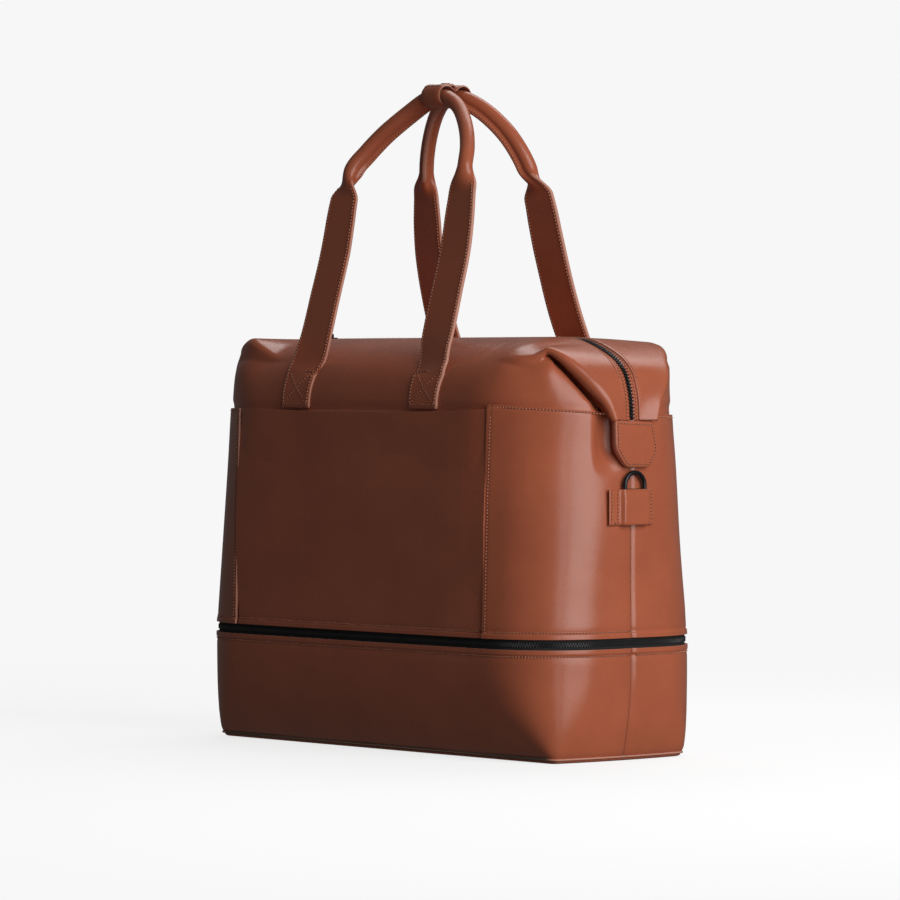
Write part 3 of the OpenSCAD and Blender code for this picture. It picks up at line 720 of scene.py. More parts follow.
FOLD_START = FOLD_ZIP[0][0]
CHEEK = 5.0                              # how far a full corner swells out below its shoulder
OPEN_FOLD = dict(edge=OPEN_EDGE, inner=OPEN_IN, roll=OPEN_ROLL, share=OPEN_SHARE,
                 full=OPEN_FULLNESS, cheek=0.0, hollow=1.0)
FULL_FOLD = dict(edge=FULL_EDGE, inner=FULL_IN, roll=FULL_ROLL, share=FULL_SHARE,
                 full=FULLNESS, cheek=CHEEK, hollow=0.0)
LOW_FOLD = dict(FULL_FOLD, edge=LOW_EDGE)
RIM_QUARTER = quarter_length(TOP_HALF_LEN, TOP_HALF_DEP, TOP_R)
K_FLAP, K_ROLL, K_UNDER, K_WALL = 18, 9, 5, 20
FLAP = 72.0                              # length of a flap, from the zip to its outer edge
SKIRT = (1.5, 4.0)                       # how far below the rim the top's hidden edge reaches


def plain_column(zip_point, s_rim):
    """Column of the plain rounded top from the zip's edge down to the rim."""
    x, z = zip_point
    w_top = max(rise_to_w(z), 0.3)
    ws = np.linspace(w_top, 0, 120)
    section, _ = dome(w_top)
    s_top = min(x, quarter_length(*section[:3]))
    path = dome_point(ws, s_rim + (s_top - s_rim) * ws / w_top)
    start = np.array([x, -CLIP, z])
    path = path + (start - path[0]) * (ws[:, None] / w_top) ** 3
    total = distances(path)
    stops = np.concatenate([np.linspace(0, FLAP - 4, K_FLAP),
                            np.linspace(FLAP - 4, FLAP + 4, K_ROLL + K_UNDER + 1)[1:],
                            np.linspace(FLAP + 4, total[-1], K_WALL)[1:]])
    return sample(path, total, stops)


def at_place(values, t):
    return float(spline([[v] for v in values], t)[0])


def fold_column(t, fold):
    """Column of the flap at fold place t: across, round its edge, back under and down.
    Where it is full the edge is a plain rounded shoulder; elsewhere a pocket opens under it."""
    zip_x, zip_z = spline(FOLD_ZIP, t)
    start = np.array([zip_x, -CLIP, zip_z])
    edges = fold["edge"]
    edge = spline(edges, t) * (1, -1, 1)
    full = min(max(at_place(fold["full"], t), 0), 1)
    nearby = 0.02
    run = spline(edges, min(t + nearby, len(edges) - 1)) - spline(edges, max(t - nearby, 0))
    run = unit(run * (1, -1, 1))
    out = unit(edge - start)
    out[[0, 2]] *= 1.25
    out = unit(out - run * (out @ run))
    normal = np.cross(run, out)
    normal *= np.sign(normal @ np.array([0.4, 0, 1.0]))
    roll = at_place(fold["roll"], t)
    centre = edge - 0.62 * roll * (normal + out)
    top = centre + roll * normal
    q = np.linspace(0, 1, K_FLAP)
    share = q ** 1.25
    flap = start + (top - start) * np.stack([share, q, share], 1)
    turn = np.linspace(0, math.radians(165 - 85 * full), K_ROLL + 1)[1:, None]
    rolled = centre + roll * (normal * np.cos(turn) + out * np.sin(turn))
    u, z_in = spline(fold["inner"], t)
    z_in = z_in + (edge[2] - roll - 8 - z_in) * full
    w_in = rise_to_w(z_in)
    ws = np.linspace(w_in, 0, K_WALL)
    section, _ = dome(ws)
    lengths = quarter_length(*section[:3])
    recess = at_place(POCKET_DEPTHS, t) * (1 - full) * np.exp(-((w_in - ws) / 0.075) ** 2)
    down = dome_point(ws, u * lengths, recess)
    below = edge + np.array([0.6 * fold["cheek"], -0.8 * fold["cheek"], z_in - edge[2]])
    down = down + full * (below - down[0]) * (ws[:, None] / w_in) ** 1.6
    under = rolled[-1] + (down[0] - rolled[-1]) * np.linspace(0, 1, K_UNDER + 1)[1:, None]
    return np.concatenate([flap, rolled, under, down[1:]])


def skirt(column, s, fold):
    """The column's last points, tucked down behind the rim."""
    a, b, r, end_bulge, side_bulge = wall(RIM)
    tucked = (a - TUCK, b - TUCK, r - TUCK, end_bulge, side_bulge)
    hollow = fold["hollow"] * tab_hollow(RIM_QUARTER - s, RIM)
    rows = [ring(s, RIM - below, hollow, tucked, -1) for below in SKIRT]
    return np.concatenate([column, np.array(rows)])


def top_columns(fold):
    """Columns from the middle of the bag to one end, drawn on the front half."""
    columns = []
    for x in np.linspace(0, FOLD_START, 22)[:-1]:
        columns.append(skirt(plain_column((x, TOP_Z), x), x, fold))
    for t in np.linspace(0, len(FOLD_ZIP) - 1, 92):
        u, _ = spline(fold["inner"], t)
        s_rim = u * RIM_QUARTER
        share = min(max(at_place(fold["share"], t), 0), 1)
        folded = fold_column(t, fold)
        flat = plain_column(spline(FOLD_ZIP, t), s_rim) if share < 1 else folded
        columns.append(skirt(flat + (folded - flat) * share, s_rim, fold))
    return np.array(columns)


def swollen(half, size=0.3):
    """Columns with the slow unevenness of stretched leather added."""
    fade = smooth((half[..., 2] - RIM) / 6)
    swell = waves(half, size)
    return half + swell[..., None] * np.array([0.15, -0.35, 0.4]) * fade[..., None]


def make_top():
    opened = swollen(top_columns(OPEN_FOLD))
    full = swollen(top_columns(FULL_FOLD))
    low = swollen(top_columns(LOW_FOLD))
    for side, name, right in ((1, "front", opened), (-1, "back", low)):
        left = full[::-1] * (-1, 1, 1)
        whole = np.concatenate([left[:-1], right])
        obj = sheet_of(f"top_{name}_leather", whole * (1, side, 1), (0, 0, 250), thick=1.8)
        put(obj, "main_body", "cognac_leather", f"top_panel_{name}")


make_top()

# ---------------------------------------------------------------- strips, teeth and tapes


def out_of(path, side):
    """Directions out of a path whose sideways direction is side."""
    return unit(np.cross(np.asarray(side, float), unit(np.gradient(path, axis=0))))


def strip(name, path, out, side, s0, s1, thick, materials, body, slot, *nodes, columns=4):
    """A flat strip laid along a path, from s0 to s1 sideways of it."""
    across = np.linspace(s0, s1, columns)
    grid = path[:, None] + np.asarray(side, float) * across[None, :, None]
    inward = path[len(path) // 2] - out[len(path) // 2] * 20
    obj = sheet_of(name, grid, inward, thick=thick, round_edge=0.3, materials=materials)
    return put(obj, body, slot, *nodes)


TOOTH = [(-0.5, -0.5, 0), (0.5, -0.5, 0), (0.5, 0.5, 0), (-0.5, 0.5, 0),
         (-0.38, -0.42, 1), (0.38, -0.42, 1), (0.38, 0.42, 1), (-0.38, 0.42, 1)]
TOOTH_FACES = [(3, 2, 1, 0), (4, 5, 6, 7), (0, 1, 5, 4), (1, 2, 6, 5), (2, 3, 7, 6), (3, 0, 4, 7)]


def teeth(name, path, out, side, start, reach, pitch, offset, high=1.3, long=1.55):
    """A row of zip teeth along a path, each reaching sideways from start to start + reach."""
    total = distances(path)
    at = np.arange(0.5 + offset, total[-1] / pitch - 0.3) * pitch
    centres, outs = sample(path, total, at), unit(sample(out, total, at))
    runs = unit(sample(unit(np.gradient(path, axis=0)), total, at))
    w = unit(np.asarray(side, float))
    points, faces = [], []
    for c, o, r in zip(centres, outs, runs):
        base = len(points)
        middle = c + w * (start + reach / 2)
        for a, b, h in TOOTH:
            points.append(middle + r * a * long + w * b * abs(reach) + o * (h * high - 0.3))
        faces += [tuple(base + k for k in f) for f in TOOTH_FACES]
    obj = new_object(name, points, faces, [TEETH])
    fix_normals(obj)
    for polygon in obj.data.polygons:
        polygon.use_smooth = False
    bevel = obj.modifiers.new("edge", "BEVEL")
    bevel.width = 0.22 * MM
    bevel.segments = 1
    return obj


ZIP_LINE = [(0, 340.5), (40, 340.5), (78, 340.5)] + FOLD_ZIP


def main_zip_line():
    """Centre line of the main zip at the leather's face, from the left end to the right."""
    t = np.linspace(0, len(ZIP_LINE) - 1, 260)
    half = spline(ZIP_LINE, t)
    half = np.stack([half[:, 0], 0 * half[:, 0], half[:, 1]], 1)
    whole = np.concatenate([half[::-1] * (-1, 1, 1), half[1:]])
    return evenly(whole, 420)


def make_main_zip():
    line = main_zip_line()
    out = out_of(line, (0, 1, 0))
    if out[len(out) // 2][2] < 0:
        out = -out
    for s, name in ((-1, "front"), (1, "back")):
        side = (0, s, 0)
        strip(f"zip_binding_{name}", line - out * 1.5, out, side, 1.9, 12.5, 0.9, [COGNAC, EDGE],
              "main_body", "cognac_leather", f"zip_placket_{name}")
        strip(f"main_zip_tape_{name}_weave", line - out * 2.6, out, side, 0.35, 12.0, 0.6, [TAPE, TAPE],
              "main_body", "zip_tape", f"main_zip_tape_{name}")
        row = teeth(f"main_zip_teeth_{name}", line - out * 1.7, out, side, -0.6, 3.6, 2.7,
                    0.5 if s > 0 else 0.0, high=1.7, long=1.35)
        put(row, "main_body", "zip_coil", f"main_zip_coil_{name}")
    rows = []
    for s in (-1, 1):
        rows.append((line + (0, s * (CLIP + 2.5), 0) - out * 0.2, out))
        rows.append((line - out * 1.5 + (0, s * 5.2, 0) + out * 0.02, out))
    put(stitches("main_zip_stitches", rows, step=2.9, length=2.3, radius=0.33), "main_body", STITCH_SLOT)


def run_line(z, d, count=700):
    """Path of the bottom zip along the front, round the ends and the far corners."""
    section = wall(z)
    length = quarter_length(*section[:3])
    front = ring(np.linspace(-length, length, count), z, d, section, -1)
    far = ring(np.linspace(length, length * 0.62, count // 5)[1:], z, d, section, 1)
    other = far[::-1] * (-1, 1, 1)
    path = np.concatenate([other, front, far])
    return evenly(path, count * 2)


def flat_out(path):
    """Level directions out of the bottom zip's path."""
    run = unit(np.gradient(path, axis=0) * (1, 1, 0))
    return np.stack([run[:, 1], -run[:, 0], 0 * run[:, 0]], 1)


def make_bottom_zip():
    for s, name, body in ((-1, "lower", "tray"), (1, "upper", "main_body")):
        face = run_line(ZIP_Z, 2.2)
        out = flat_out(face)
        strip(f"bottom_zip_tape_{name}_weave", face, out, (0, 0, s), 0.35, 9.5, 0.6, [TAPE, TAPE],
              body, "zip_tape", f"bottom_zip_tape_{name}")
        row = teeth(f"bottom_zip_teeth_{name}", face, out, (0, 0, s), -0.45, 2.6, 2.2,
                    0.5 if s > 0 else 0.0, high=1.2, long=1.35)
        put(row, body, "zip_coil", f"bottom_zip_coil_{name}")


make_main_zip()
make_bottom_zip()

# ---------------------------------------------------------------- end tabs and ring patches


def outline_plate(name, outline, x0, thick, bulge, body, slot, *nodes, end=1, rings=7, soft=0.8):
    """A leather plate facing along X: outline points (y, z), softly rounded at its edge."""
    outline = np.asarray(outline, float)
    centre = outline.mean(0)
    radii = np.linalg.norm(outline - centre, axis=1).mean()
    points = []
    count = len(outline)
    levels = [(1, 0.0)] + [(1 - soft * (1 - math.cos(g)) / radii, thick - soft + soft * math.sin(g))
                           for g in np.linspace(0, math.pi / 2, 4)]
    levels += [(k, thick + bulge * (1 - k * k)) for k in np.linspace(0.9, 0.2, rings)]
    for k, lift in levels:
        points += [(end * (x0 + lift), y, z) for y, z in centre + (outline - centre) * k]
    faces = band_faces(len(levels), count)
    points.append((end * (x0 + thick + bulge), *centre))
    last = (len(levels) - 1) * count
    faces += [(last + i, last + (i + 1) % count, len(points) - 1) for i in range(count)]
    faces.append(tuple(range(count))[::-1])
    obj = new_object(name, points, faces, [COGNAC, EDGE])
    for k, polygon in enumerate(obj.data.polygons):
        polygon.material_index = int(k < count * 2)
    fix_normals(obj)
    return put(obj, body, slot, *nodes)


def rounded(corners, reaches, steps=5):
    """Closed outline through corners, each rounded off from its own reach before and after it."""
    corners = np.asarray(corners, float)
    points = []
    for i, (c, reach) in enumerate(zip(corners, reaches)):
        a, b = corners[i - 1], corners[(i + 1) % len(corners)]
        p, q = c + unit(a - c) * reach, c + unit(b - c) * reach
        for t in np.linspace(0, 1, steps):
            points.append((1 - t) ** 2 * p + 2 * t * (1 - t) * c + t * t * q)
    dense = []
    for i, p in enumerate(points):
        q = points[(i + 1) % len(points)]
        count = max(1, int(np.linalg.norm(q - p) / 2.5))
        dense += [p + (q - p) * k / count for k in range(count)]
    return np.array(dense)


def inset_loop(outline, amount):
    """The outline moved inwards by amount."""
    run = unit(np.roll(outline, -1, 0) - np.roll(outline, 1, 0))
    inward = np.stack([-run[:, 1], run[:, 0]], 1)
    if ((outline.mean(0) - outline) * inward).sum() < 0:
        inward = -inward
    return outline + inward * amount


TAB_CORNERS = [(-22.3, 273.6), (18.8, 272.0), (24.2, 249), (15.5, 236.0), (-10, 236.0), (-21.2, 250)]
TAB_ROUNDING = [2.5, 2.5, 5, 4, 4, 5]


def make_end_tab(end, name):
    outline = rounded(TAB_CORNERS, TAB_ROUNDING)
    x0 = TAB_FACE
    outline_plate(f"end_tab_{name}_leather", outline, x0, 4.4, 0.7, "main_body", "cognac_leather",
                  f"end_tab_{name}", end=end)
    loop = inset_loop(outline, 2.3)
    loop = np.concatenate([loop, loop[:1]])
    line = np.stack([np.full(len(loop), end * (x0 + 4.62)), loop[:, 0], loop[:, 1]], 1)
    facing = np.tile([end, 0, 0], (len(line), 1)).astype(float)
    put(stitches(f"end_tab_{name}_stitches", [(line, facing)], 2.7, 2.2, 0.32), "main_body", STITCH_SLOT)


def make_ring_patch(end, name):
    """Leather folded round the ring's bar: sewn wings and a raised tunnel between them."""
    x0 = PATCH_FACE - 0.6
    ys = np.concatenate([np.linspace(-26.5, -25.1, 5), np.linspace(-23.6, 19, 48),
                         np.linspace(19.6, 20.8, 5)])
    zs = np.concatenate([np.linspace(189.6, 190.6, 4), np.linspace(192, 216, 16),
                         np.linspace(217, 218.4, 4)])
    y, z = np.meshgrid(ys, zs, indexing="ij")
    ridge = smooth((y + 15.2) / 3.2) * smooth((16 - y) / 3.2)
    lift = 2.6 + ridge * (3.2 + 0.5 * np.sin((z - 190) / 28 * math.pi))
    lift -= groove(z - 216.5, 0.5, 1.2) * ridge
    edge = np.minimum.reduce([y + 26.7, 21.0 - y, z - 189.4, 218.6 - z])
    lift -= 0.9 * np.exp(-(edge / 0.6) ** 2)
    grid = np.stack([end * (x0 + lift), y, z], -1)
    obj = sheet_of(f"ring_patch_{name}_leather", grid, (0, 0, 205), thick=2.2)
    put(obj, "main_body", "cognac_leather", f"ring_patch_{name}")
    rows = []
    for column in (-23.9, -17.4, 18.6):
        upward = np.linspace(191.5, 217, 40)
        line = np.stack([np.full(40, end * (x0 + 2.62)), np.full(40, column), upward], 1)
        rows.append((line, np.tile([float(end), 0, 0], (40, 1))))
    line = np.stack([np.full(8, end * (x0 + 2.75)), np.linspace(-23.9, -17.4, 8), np.full(8, 191.3)], 1)
    rows.append((line, np.tile([float(end), 0, 0], (8, 1))))
    put(stitches(f"ring_patch_{name}_stitches", rows, 2.7, 2.2, 0.32), "main_body", STITCH_SLOT)


for END, END_NAME in ((1, "right"), (-1, "left")):
    make_end_tab(END, END_NAME)
    make_ring_patch(END, END_NAME)

# ---------------------------------------------------------------- handles

STRAP_X, STRAP_HALF, STRAP_T = 82.0, 18.0, 3.0
GRIP_R, FLANGE, FLANGE_HALF = 6.2, 4.4, 1.75
FRONT_LINE = [(81.0, -82.6, 320), (78.6, -77.0, 339), (77.9, -66.6, 376), (77.3, -56.2, 413),
              (75.9, -48.6, 454), (73.3, -42.6, 481), (65.2, -33.1, 497), (52, -23.3, 513.5),
              (32.5, -13.2, 530), (15, -9.9, 539.6), (0, -9.1, 542)]
BACK_LINE = [(81.8, 80.6, 320), (81.2, 68.4, 342.5), (79.4, 57.5, 373), (76.8, 46.6, 415),
             (72.2, 39.8, 455), (68.0, 36, 475), (61.2, 31, 493.5), (49.6, 24.9, 512),
             (33, 17.4, 528.5), (15, 11.2, 539), (0, 9.1, 542)]
STRAP_WIDTHS = [(270, 16.4), (283, 17.4), (312, 18.6), (339, 19.4), (412, 18.7), (440, 17.9), (462, 16.2),
                (480, 15.0)]
ROLL_FROM, ROLL_TO = 457.0, 483.0
SECTION_N = 64


def face_half_depth(x, z):
    t = np.clip((z - RIM) / (TOP_Z - RIM), 0, 1)
    b = CLIP + (TOP_HALF_DEP - CLIP) * fall(t, SHOULDER_N)
    return b + TOP_BULGE * (1 - (x / (RIM_LEN / 2)) ** 4)


def perimeter(points, count=SECTION_N):
    """Evenly spaced points on a closed outline, starting at its first point."""
    closed = np.concatenate([points, points[:1]])
    total = distances(closed)
    return sample(closed, total, np.arange(count) * total[-1] / count)


def strap_section():
    """Flat strap, width along u, from the middle of its inner face (v negative)."""
    w, h, r = STRAP_HALF, STRAP_T / 2, 1.1
    corners = []
    centres = ((w - r, -h + r, -90), (w - r, h - r, 0), (-w + r, h - r, 90), (-w + r, -h + r, 180))
    for cu, cv, g0 in centres:
        for g in np.radians(np.linspace(g0, g0 + 90, 7)):
            corners.append((cu + r * math.cos(g), cv + r * math.sin(g)))
    crown = np.array([(0, -h)] + corners)
    return perimeter(crown)


def grip_section():
    """Rolled grip with the sewn flange where the strap's two edges meet."""
    half = FLANGE_HALF
    start = math.asin(half / GRIP_R)
    tip = GRIP_R + FLANGE
    points = [(0, -tip), (half - 0.5, -tip), (half, -tip + 0.5)]
    for g in np.linspace(start + 0.12, 2 * math.pi - start - 0.12, 60):
        points.append((GRIP_R * math.sin(g), -GRIP_R * math.cos(g)))
    points += [(-half, -tip + 0.5), (-half + 0.5, -tip)]
    return perimeter(np.array(points))


def handle_path(half):
    """Dense centre line of a whole handle, and how far it is rolled at each point."""
    half = np.asarray(half, float)
    side = np.sign(half[0][1])
    zs = np.linspace(RIM + 1.3, FOLD_Z - 5, 8)
    foot = [(STRAP_X, side * (face_half_depth(STRAP_X, z) + 0.35 + STRAP_T / 2), z) for z in zs]
    full = np.concatenate([foot, half])
    dense = spline(full, np.linspace(0, len(full) - 1, 900))
    dense = evenly(dense, 150)
    whole = np.concatenate([dense, dense[::-1][1:] * (-1, 1, 1)])
    rolled = smooth((whole[:, 2] - ROLL_FROM) / (ROLL_TO - ROLL_FROM))
    return whole, rolled


def handle_frames(path, side):
    run = unit(np.gradient(path, axis=0))
    lean = np.array([0, side, -0.28])
    width = unit(np.cross(run, np.broadcast_to(lean, run.shape)))
    out = np.cross(width, run)
    keep = np.sign((out * lean).sum(1))
    return run, width, out * keep[:, None]


def grip_frames(path, run, side):
    """Frames of the rolled grip, whose flange points inwards and towards the other handle."""
    inside = np.stack([-path[:, 0], 0 * path[:, 0], 455 - path[:, 2]], 1)
    inside = unit(inside - run * (inside * run).sum(1)[:, None])
    towards = np.array([0, -side, 0]) - run * (run @ np.array([0, -side, 0]))[:, None]
    out = -unit(0.65 * inside + 0.75 * unit(towards))
    return unit(np.cross(out, run)), out


def handle_row(path, width, out, half_width, rolled, s, face):
    """Stitches along one edge s of a handle, on its outer face (1) or, where flat, its inner (-1)."""
    lines, normals = [], []
    for i in range(2, len(path) - 2):
        if 0.3 < rolled[i] < 0.9 or (face < 0 and rolled[i] > 0.3):
            continue
        w = (half_width[i] - 2.4) * (1 - rolled[i]) + FLANGE_HALF * rolled[i]
        spot = np.array([w * s, face * (STRAP_T / 2 + 0.05)])
        facing = -out[i]
        if face > 0:
            grip_spot = np.array([s * 1.8, -GRIP_R - FLANGE + 1.7])
            spot = spot + (grip_spot - spot) * smooth((rolled[i] - 0.45) / 0.5)
            facing = out[i] * (1 - rolled[i]) + width[i] * s * rolled[i]
        lines.append(path[i] + width[i] * spot[0] + out[i] * spot[1])
        normals.append(facing)
    return split_rows(lines, normals)


def make_handle(half, name, *nodes):
    side = np.sign(half[0][1])
    path, rolled = handle_path(half)
    run, width, out = handle_frames(path, side)
    grip_width, grip_out = grip_frames(path, run, side)
    grip_width *= np.sign((grip_width * width).sum(1))[:, None]
    width = unit(width + (grip_width - width) * rolled[:, None])
    out = unit(out + (grip_out - out) * rolled[:, None])
    half_width = np.interp(path[:, 2], *zip(*STRAP_WIDTHS))
    flat, grip = strap_section(), grip_section()
    points = []
    for i in range(len(path)):
        sized = flat * (half_width[i] / STRAP_HALF, 1)
        shape = sized + (grip - sized) * rolled[i]
        points.append(path[i] + width[i] * shape[:, :1] + out[i] * shape[:, 1:])
    points = np.array(points)
    count = len(path)
    faces = grid_faces(count, SECTION_N, wrap_v=True)
    faces.append(tuple(range(SECTION_N)))
    faces.append(tuple((count - 1) * SECTION_N + k for k in range(SECTION_N))[::-1])
    obj = new_object(f"{name}_leather", points, faces, [COGNAC, EDGE])
    for polygon in obj.data.polygons[:-2]:
        row, column = divmod(polygon.index, SECTION_N)
        turn = rolled[min(row, count - 1)]
        flat_edge = abs(flat[column][0]) > STRAP_HALF - 1.3 and turn < 0.75
        tip = min(column, SECTION_N - column) <= 2 and turn > 0.9
        polygon.material_index = int(flat_edge or tip)
    for polygon in obj.data.polygons[-2:]:
        polygon.material_index = 1
    fix_normals(obj)
    rows = []
    for s in (-1, 1):
        for face in (1, -1):
            rows += handle_row(path, width, out, half_width, rolled, s, face)
    thread = stitches(f"{name}_stitches", rows)
    body = name.replace("_handle", "_carry_handle")
    start, end = (0, side * 89.5, 307), (0, side * 84.0, 326)
    blended(obj, "main_body", body, start, end, "cognac_leather", *nodes)
    blended(thread, "main_body", body, start, end, STITCH_SLOT)
    make_foot_stitches(name, side)


def split_rows(lines, normals):
    """Cut a row of stitches where it jumps."""
    rows, start = [], 0
    for i in range(1, len(lines) + 1):
        if i == len(lines) or np.linalg.norm(lines[i] - lines[i - 1]) > 9:
            if i - start > 3:
                rows.append((np.array(lines[start:i]), np.array(normals[start:i])))
            start = i
    return rows


def make_foot_stitches(name, side):
    """Sewn cross inside a box that holds each strap end to the top panel."""
    low, high, half = RIM + 4.5, FOLD_Z - 3, STRAP_HALF - 2.6
    strokes = (((-half, low), (half, low)), ((-half, high), (half, high)),
               ((-half, low), (half, high)), ((half, low), (-half, high)))
    rows = []
    for end in (-1, 1):
        def at(u, z):
            x = np.full_like(z, STRAP_X) + u
            y = face_half_depth(STRAP_X, z) + 0.35 + STRAP_T + 0.05
            return np.stack([end * x, side * y, z], 1)
        for (u0, z0), (u1, z1) in strokes:
            t = np.linspace(0, 1, 24)
            line = at(lerp(u0, u1, t), lerp(z0, z1, t))
            slope = np.gradient(face_half_depth(STRAP_X, line[:, 2]), line[:, 2]) if z0 != z1 else 0 * t
            normals = unit(np.stack([0 * t, side * np.ones_like(t), -slope], 1))
            rows.append((line, normals))
    put(stitches(f"{name}_foot_stitches", rows, 2.9, 2.3, 0.34), "main_body", STITCH_SLOT)


make_handle(FRONT_LINE, "front_handle",
            "front_handle", "handle_anchor_front_right", "handle_anchor_front_left")
make_handle(BACK_LINE, "back_handle",
            "back_handle", "handle_anchor_back_right", "handle_anchor_back_left")

# ---------------------------------------------------------------- keeper


GRIP_Y, GRIP_Z = 9.1, 542.0              # middle of each grip under the keeper
KEEPER_R, KEEPER_WAIST, KEEPER_GAP = 7.6, 3.2, 0.35
KEEPER_HALF, KEEPER_THICK, KEEPER_N = 12.0, 1.7, 72
KEEPER_ENDS = (0, 7, 8, 17)              # bands of faces at the keeper's two cut ends
TAB_ROOT, TAB_LENGTH, TAB_HALF, TAB_CREST = -15.0, 20.2, 11.0, 551.7


def keeper_outline(side, grow):
    """Band round one grip, pinched towards the middle between the two grips."""
    centre = np.array([side * GRIP_Y, GRIP_Z])
    radius = KEEPER_R + grow
    waist = KEEPER_WAIST + grow
    points = []
    for g in np.radians(np.linspace(52, 308, 40)):
        points.append(centre + radius * np.array([side * -math.cos(g), math.sin(g)]))
    points.append(np.array([side * KEEPER_GAP, GRIP_Z - waist]))
    points.append(np.array([side * KEEPER_GAP, GRIP_Z + waist]))
    return np.array(points)


def tab_taper(share):
    """How much of its width the keeper's tab keeps, from its root at 0 to its tip at 1."""
    return 1 - 0.42 * smooth((share - 0.62) / 0.38)


def tab_height(y):
    """Height of the tab's middle, which droops over both grips."""
    return TAB_CREST - 0.028 * (y + 8) ** 2 * (y < -8) - 0.012 * np.clip(y + 1, 0, None) ** 2


def make_keeper():
    for side, name, body in ((-1, "front", "front_carry_handle"), (1, "back", "back_carry_handle")):
        inner = perimeter(keeper_outline(side, 0.0), KEEPER_N)
        outer = perimeter(keeper_outline(side, KEEPER_THICK), KEEPER_N)
        outer[:, 0] = np.where(side * outer[:, 0] < KEEPER_GAP, side * KEEPER_GAP, outer[:, 0])
        near = np.array([-KEEPER_HALF, -KEEPER_HALF + 0.5, -KEEPER_HALF + 1.2, -6])
        xs = np.concatenate([near, [0], -near[::-1]])
        shrink = np.array([0.85, 0.25, 0, -0.15, -0.2, -0.15, 0, 0.25, 0.85])
        loops = []
        for x, k in zip(xs, shrink):
            loops.append(np.column_stack([np.full(KEEPER_N, x), *lerp(outer, inner, k).T]))
        for x, k in zip(xs[::-1], shrink[::-1]):
            loops.append(np.column_stack([np.full(KEEPER_N, x), *lerp(inner, outer, k * 0.2).T]))
        faces = grid_faces(len(loops), KEEPER_N, wrap_u=True, wrap_v=True)
        obj = new_object(f"keeper_{name}_leather", np.array(loops), faces, [COGNAC, EDGE])
        for polygon in obj.data.polygons:
            polygon.material_index = int(polygon.index // KEEPER_N in KEEPER_ENDS)
        fix_normals(obj)
        put(obj, body, "cognac_leather", f"keeper_{name}")
    xs = np.linspace(-TAB_HALF, TAB_HALF, 15)
    x, share = np.meshgrid(xs, np.linspace(0, 1, 30), indexing="ij")
    y = TAB_ROOT + TAB_LENGTH * share
    grid = np.stack([x * tab_taper(share), y, tab_height(y) - 0.1 * (x / TAB_HALF) ** 2], -1)
    obj = sheet_of("keeper_tab_leather", grid, (0, -5, 540), thick=1.4)
    put(obj, "front_carry_handle", "cognac_leather")
    rows = []
    for s in (-1, 1):
        share = np.linspace(0.05, 0.95, 30)
        y = TAB_ROOT + TAB_LENGTH * share
        line = np.column_stack([s * (TAB_HALF * tab_taper(share) - 1.7), y, tab_height(y) + 0.05])
        rows.append((line, np.tile([0.0, 0, 1], (30, 1))))
    put(stitches("keeper_stitches", rows, 2.6, 2.1, 0.3), "front_carry_handle", STITCH_SLOT)


make_keeper()

# ---------------------------------------------------------------- hinge gusset, linings and base


def make_gusset():
    """Soft leather behind the bottom zip's gap along the back."""
    ss = np.linspace(-150, 150, 61)
    zs = np.linspace(ZIP_Z - 8, ZIP_Z + 8, 17)
    s, z = np.meshgrid(ss, zs, indexing="ij")
    depth = 2.2 + 0.24 * np.sin(s / 19) - groove(z - ZIP_Z, 0.9, 3.0)
    grid = ring(s, z, depth, wall(z), 1)
    obj = sheet_of("hinge_gusset_leather", grid, (0, 0, ZIP_Z), thick=1.3, round_edge=0)
    blended(obj, "tray", "main_body", (0, 95, ZIP_Z - 4), (0, 95, ZIP_Z + 4),
            "cognac_leather", "hinge_gusset")


def make_linings():
    us = np.linspace(-1, 1, 121)
    for side, name in ((-1, "front"), (1, "back")):
        zs = np.linspace(TRAY_FOOT + 1.8, TRAY_TOP - 7, 16)
        u, z = np.meshgrid(us, zs, indexing="ij")
        length = wall_quarter(z)
        depth = 3.6 + 0.7 * np.sin(u * 37 + z / 9) * np.sin(z / 13 + u * 5)
        grid = ring(u * length * 0.9995, z, depth, wall(z), side)
        obj = sheet_of(f"tray_lining_{name}_cloth", grid, (0, 0, 50), thick=0.6, round_edge=0,
                       materials=[CLOTH, CLOTH])
        put(obj, "tray", "lining_cloth", *(["tray_lining"] if side < 0 else []))
        zs = np.linspace(107, RIM - 8, 14)
        u, z = np.meshgrid(us, zs, indexing="ij")
        length = wall_quarter(z)
        depth = 9.0 + 0.9 * np.sin(u * 31 + z / 17) * np.sin(z / 29 + u * 5)
        depth += tab_hollow((1 - np.abs(u)) * length, z)
        low = ring(u * length * 0.9995, z, depth, wall(z), side)
        ws = np.linspace(0, 0.9, 12)
        u, w = np.meshgrid(us, ws, indexing="ij")
        section, z = dome(w)
        length = quarter_length(*section[:3])
        high = ring(u * length * 0.9995, z, 14, section, side)
        high = high * np.array([0.955, 1, 1])
        high[..., 2] = RIM + (high[..., 2] - RIM) * 0.86
        grid = np.concatenate([low, high], 1)
        obj = sheet_of(f"main_lining_{name}_cloth", grid, (0, 0, 200), thick=0.6, round_edge=0,
                       materials=[CLOTH, CLOTH])
        put(obj, "main_body", "lining_cloth", f"main_lining_{name}")


def plan_loop(z, d, count):
    """Closed outline of the body at height z, set in by d."""
    section = wall(z)
    length = quarter_length(*section[:3])
    front = ring(np.linspace(-length, length, count), z, d, section, -1)
    back = ring(np.linspace(length, -length, count)[1:-1], z, d, section, 1)
    return np.concatenate([front, back])


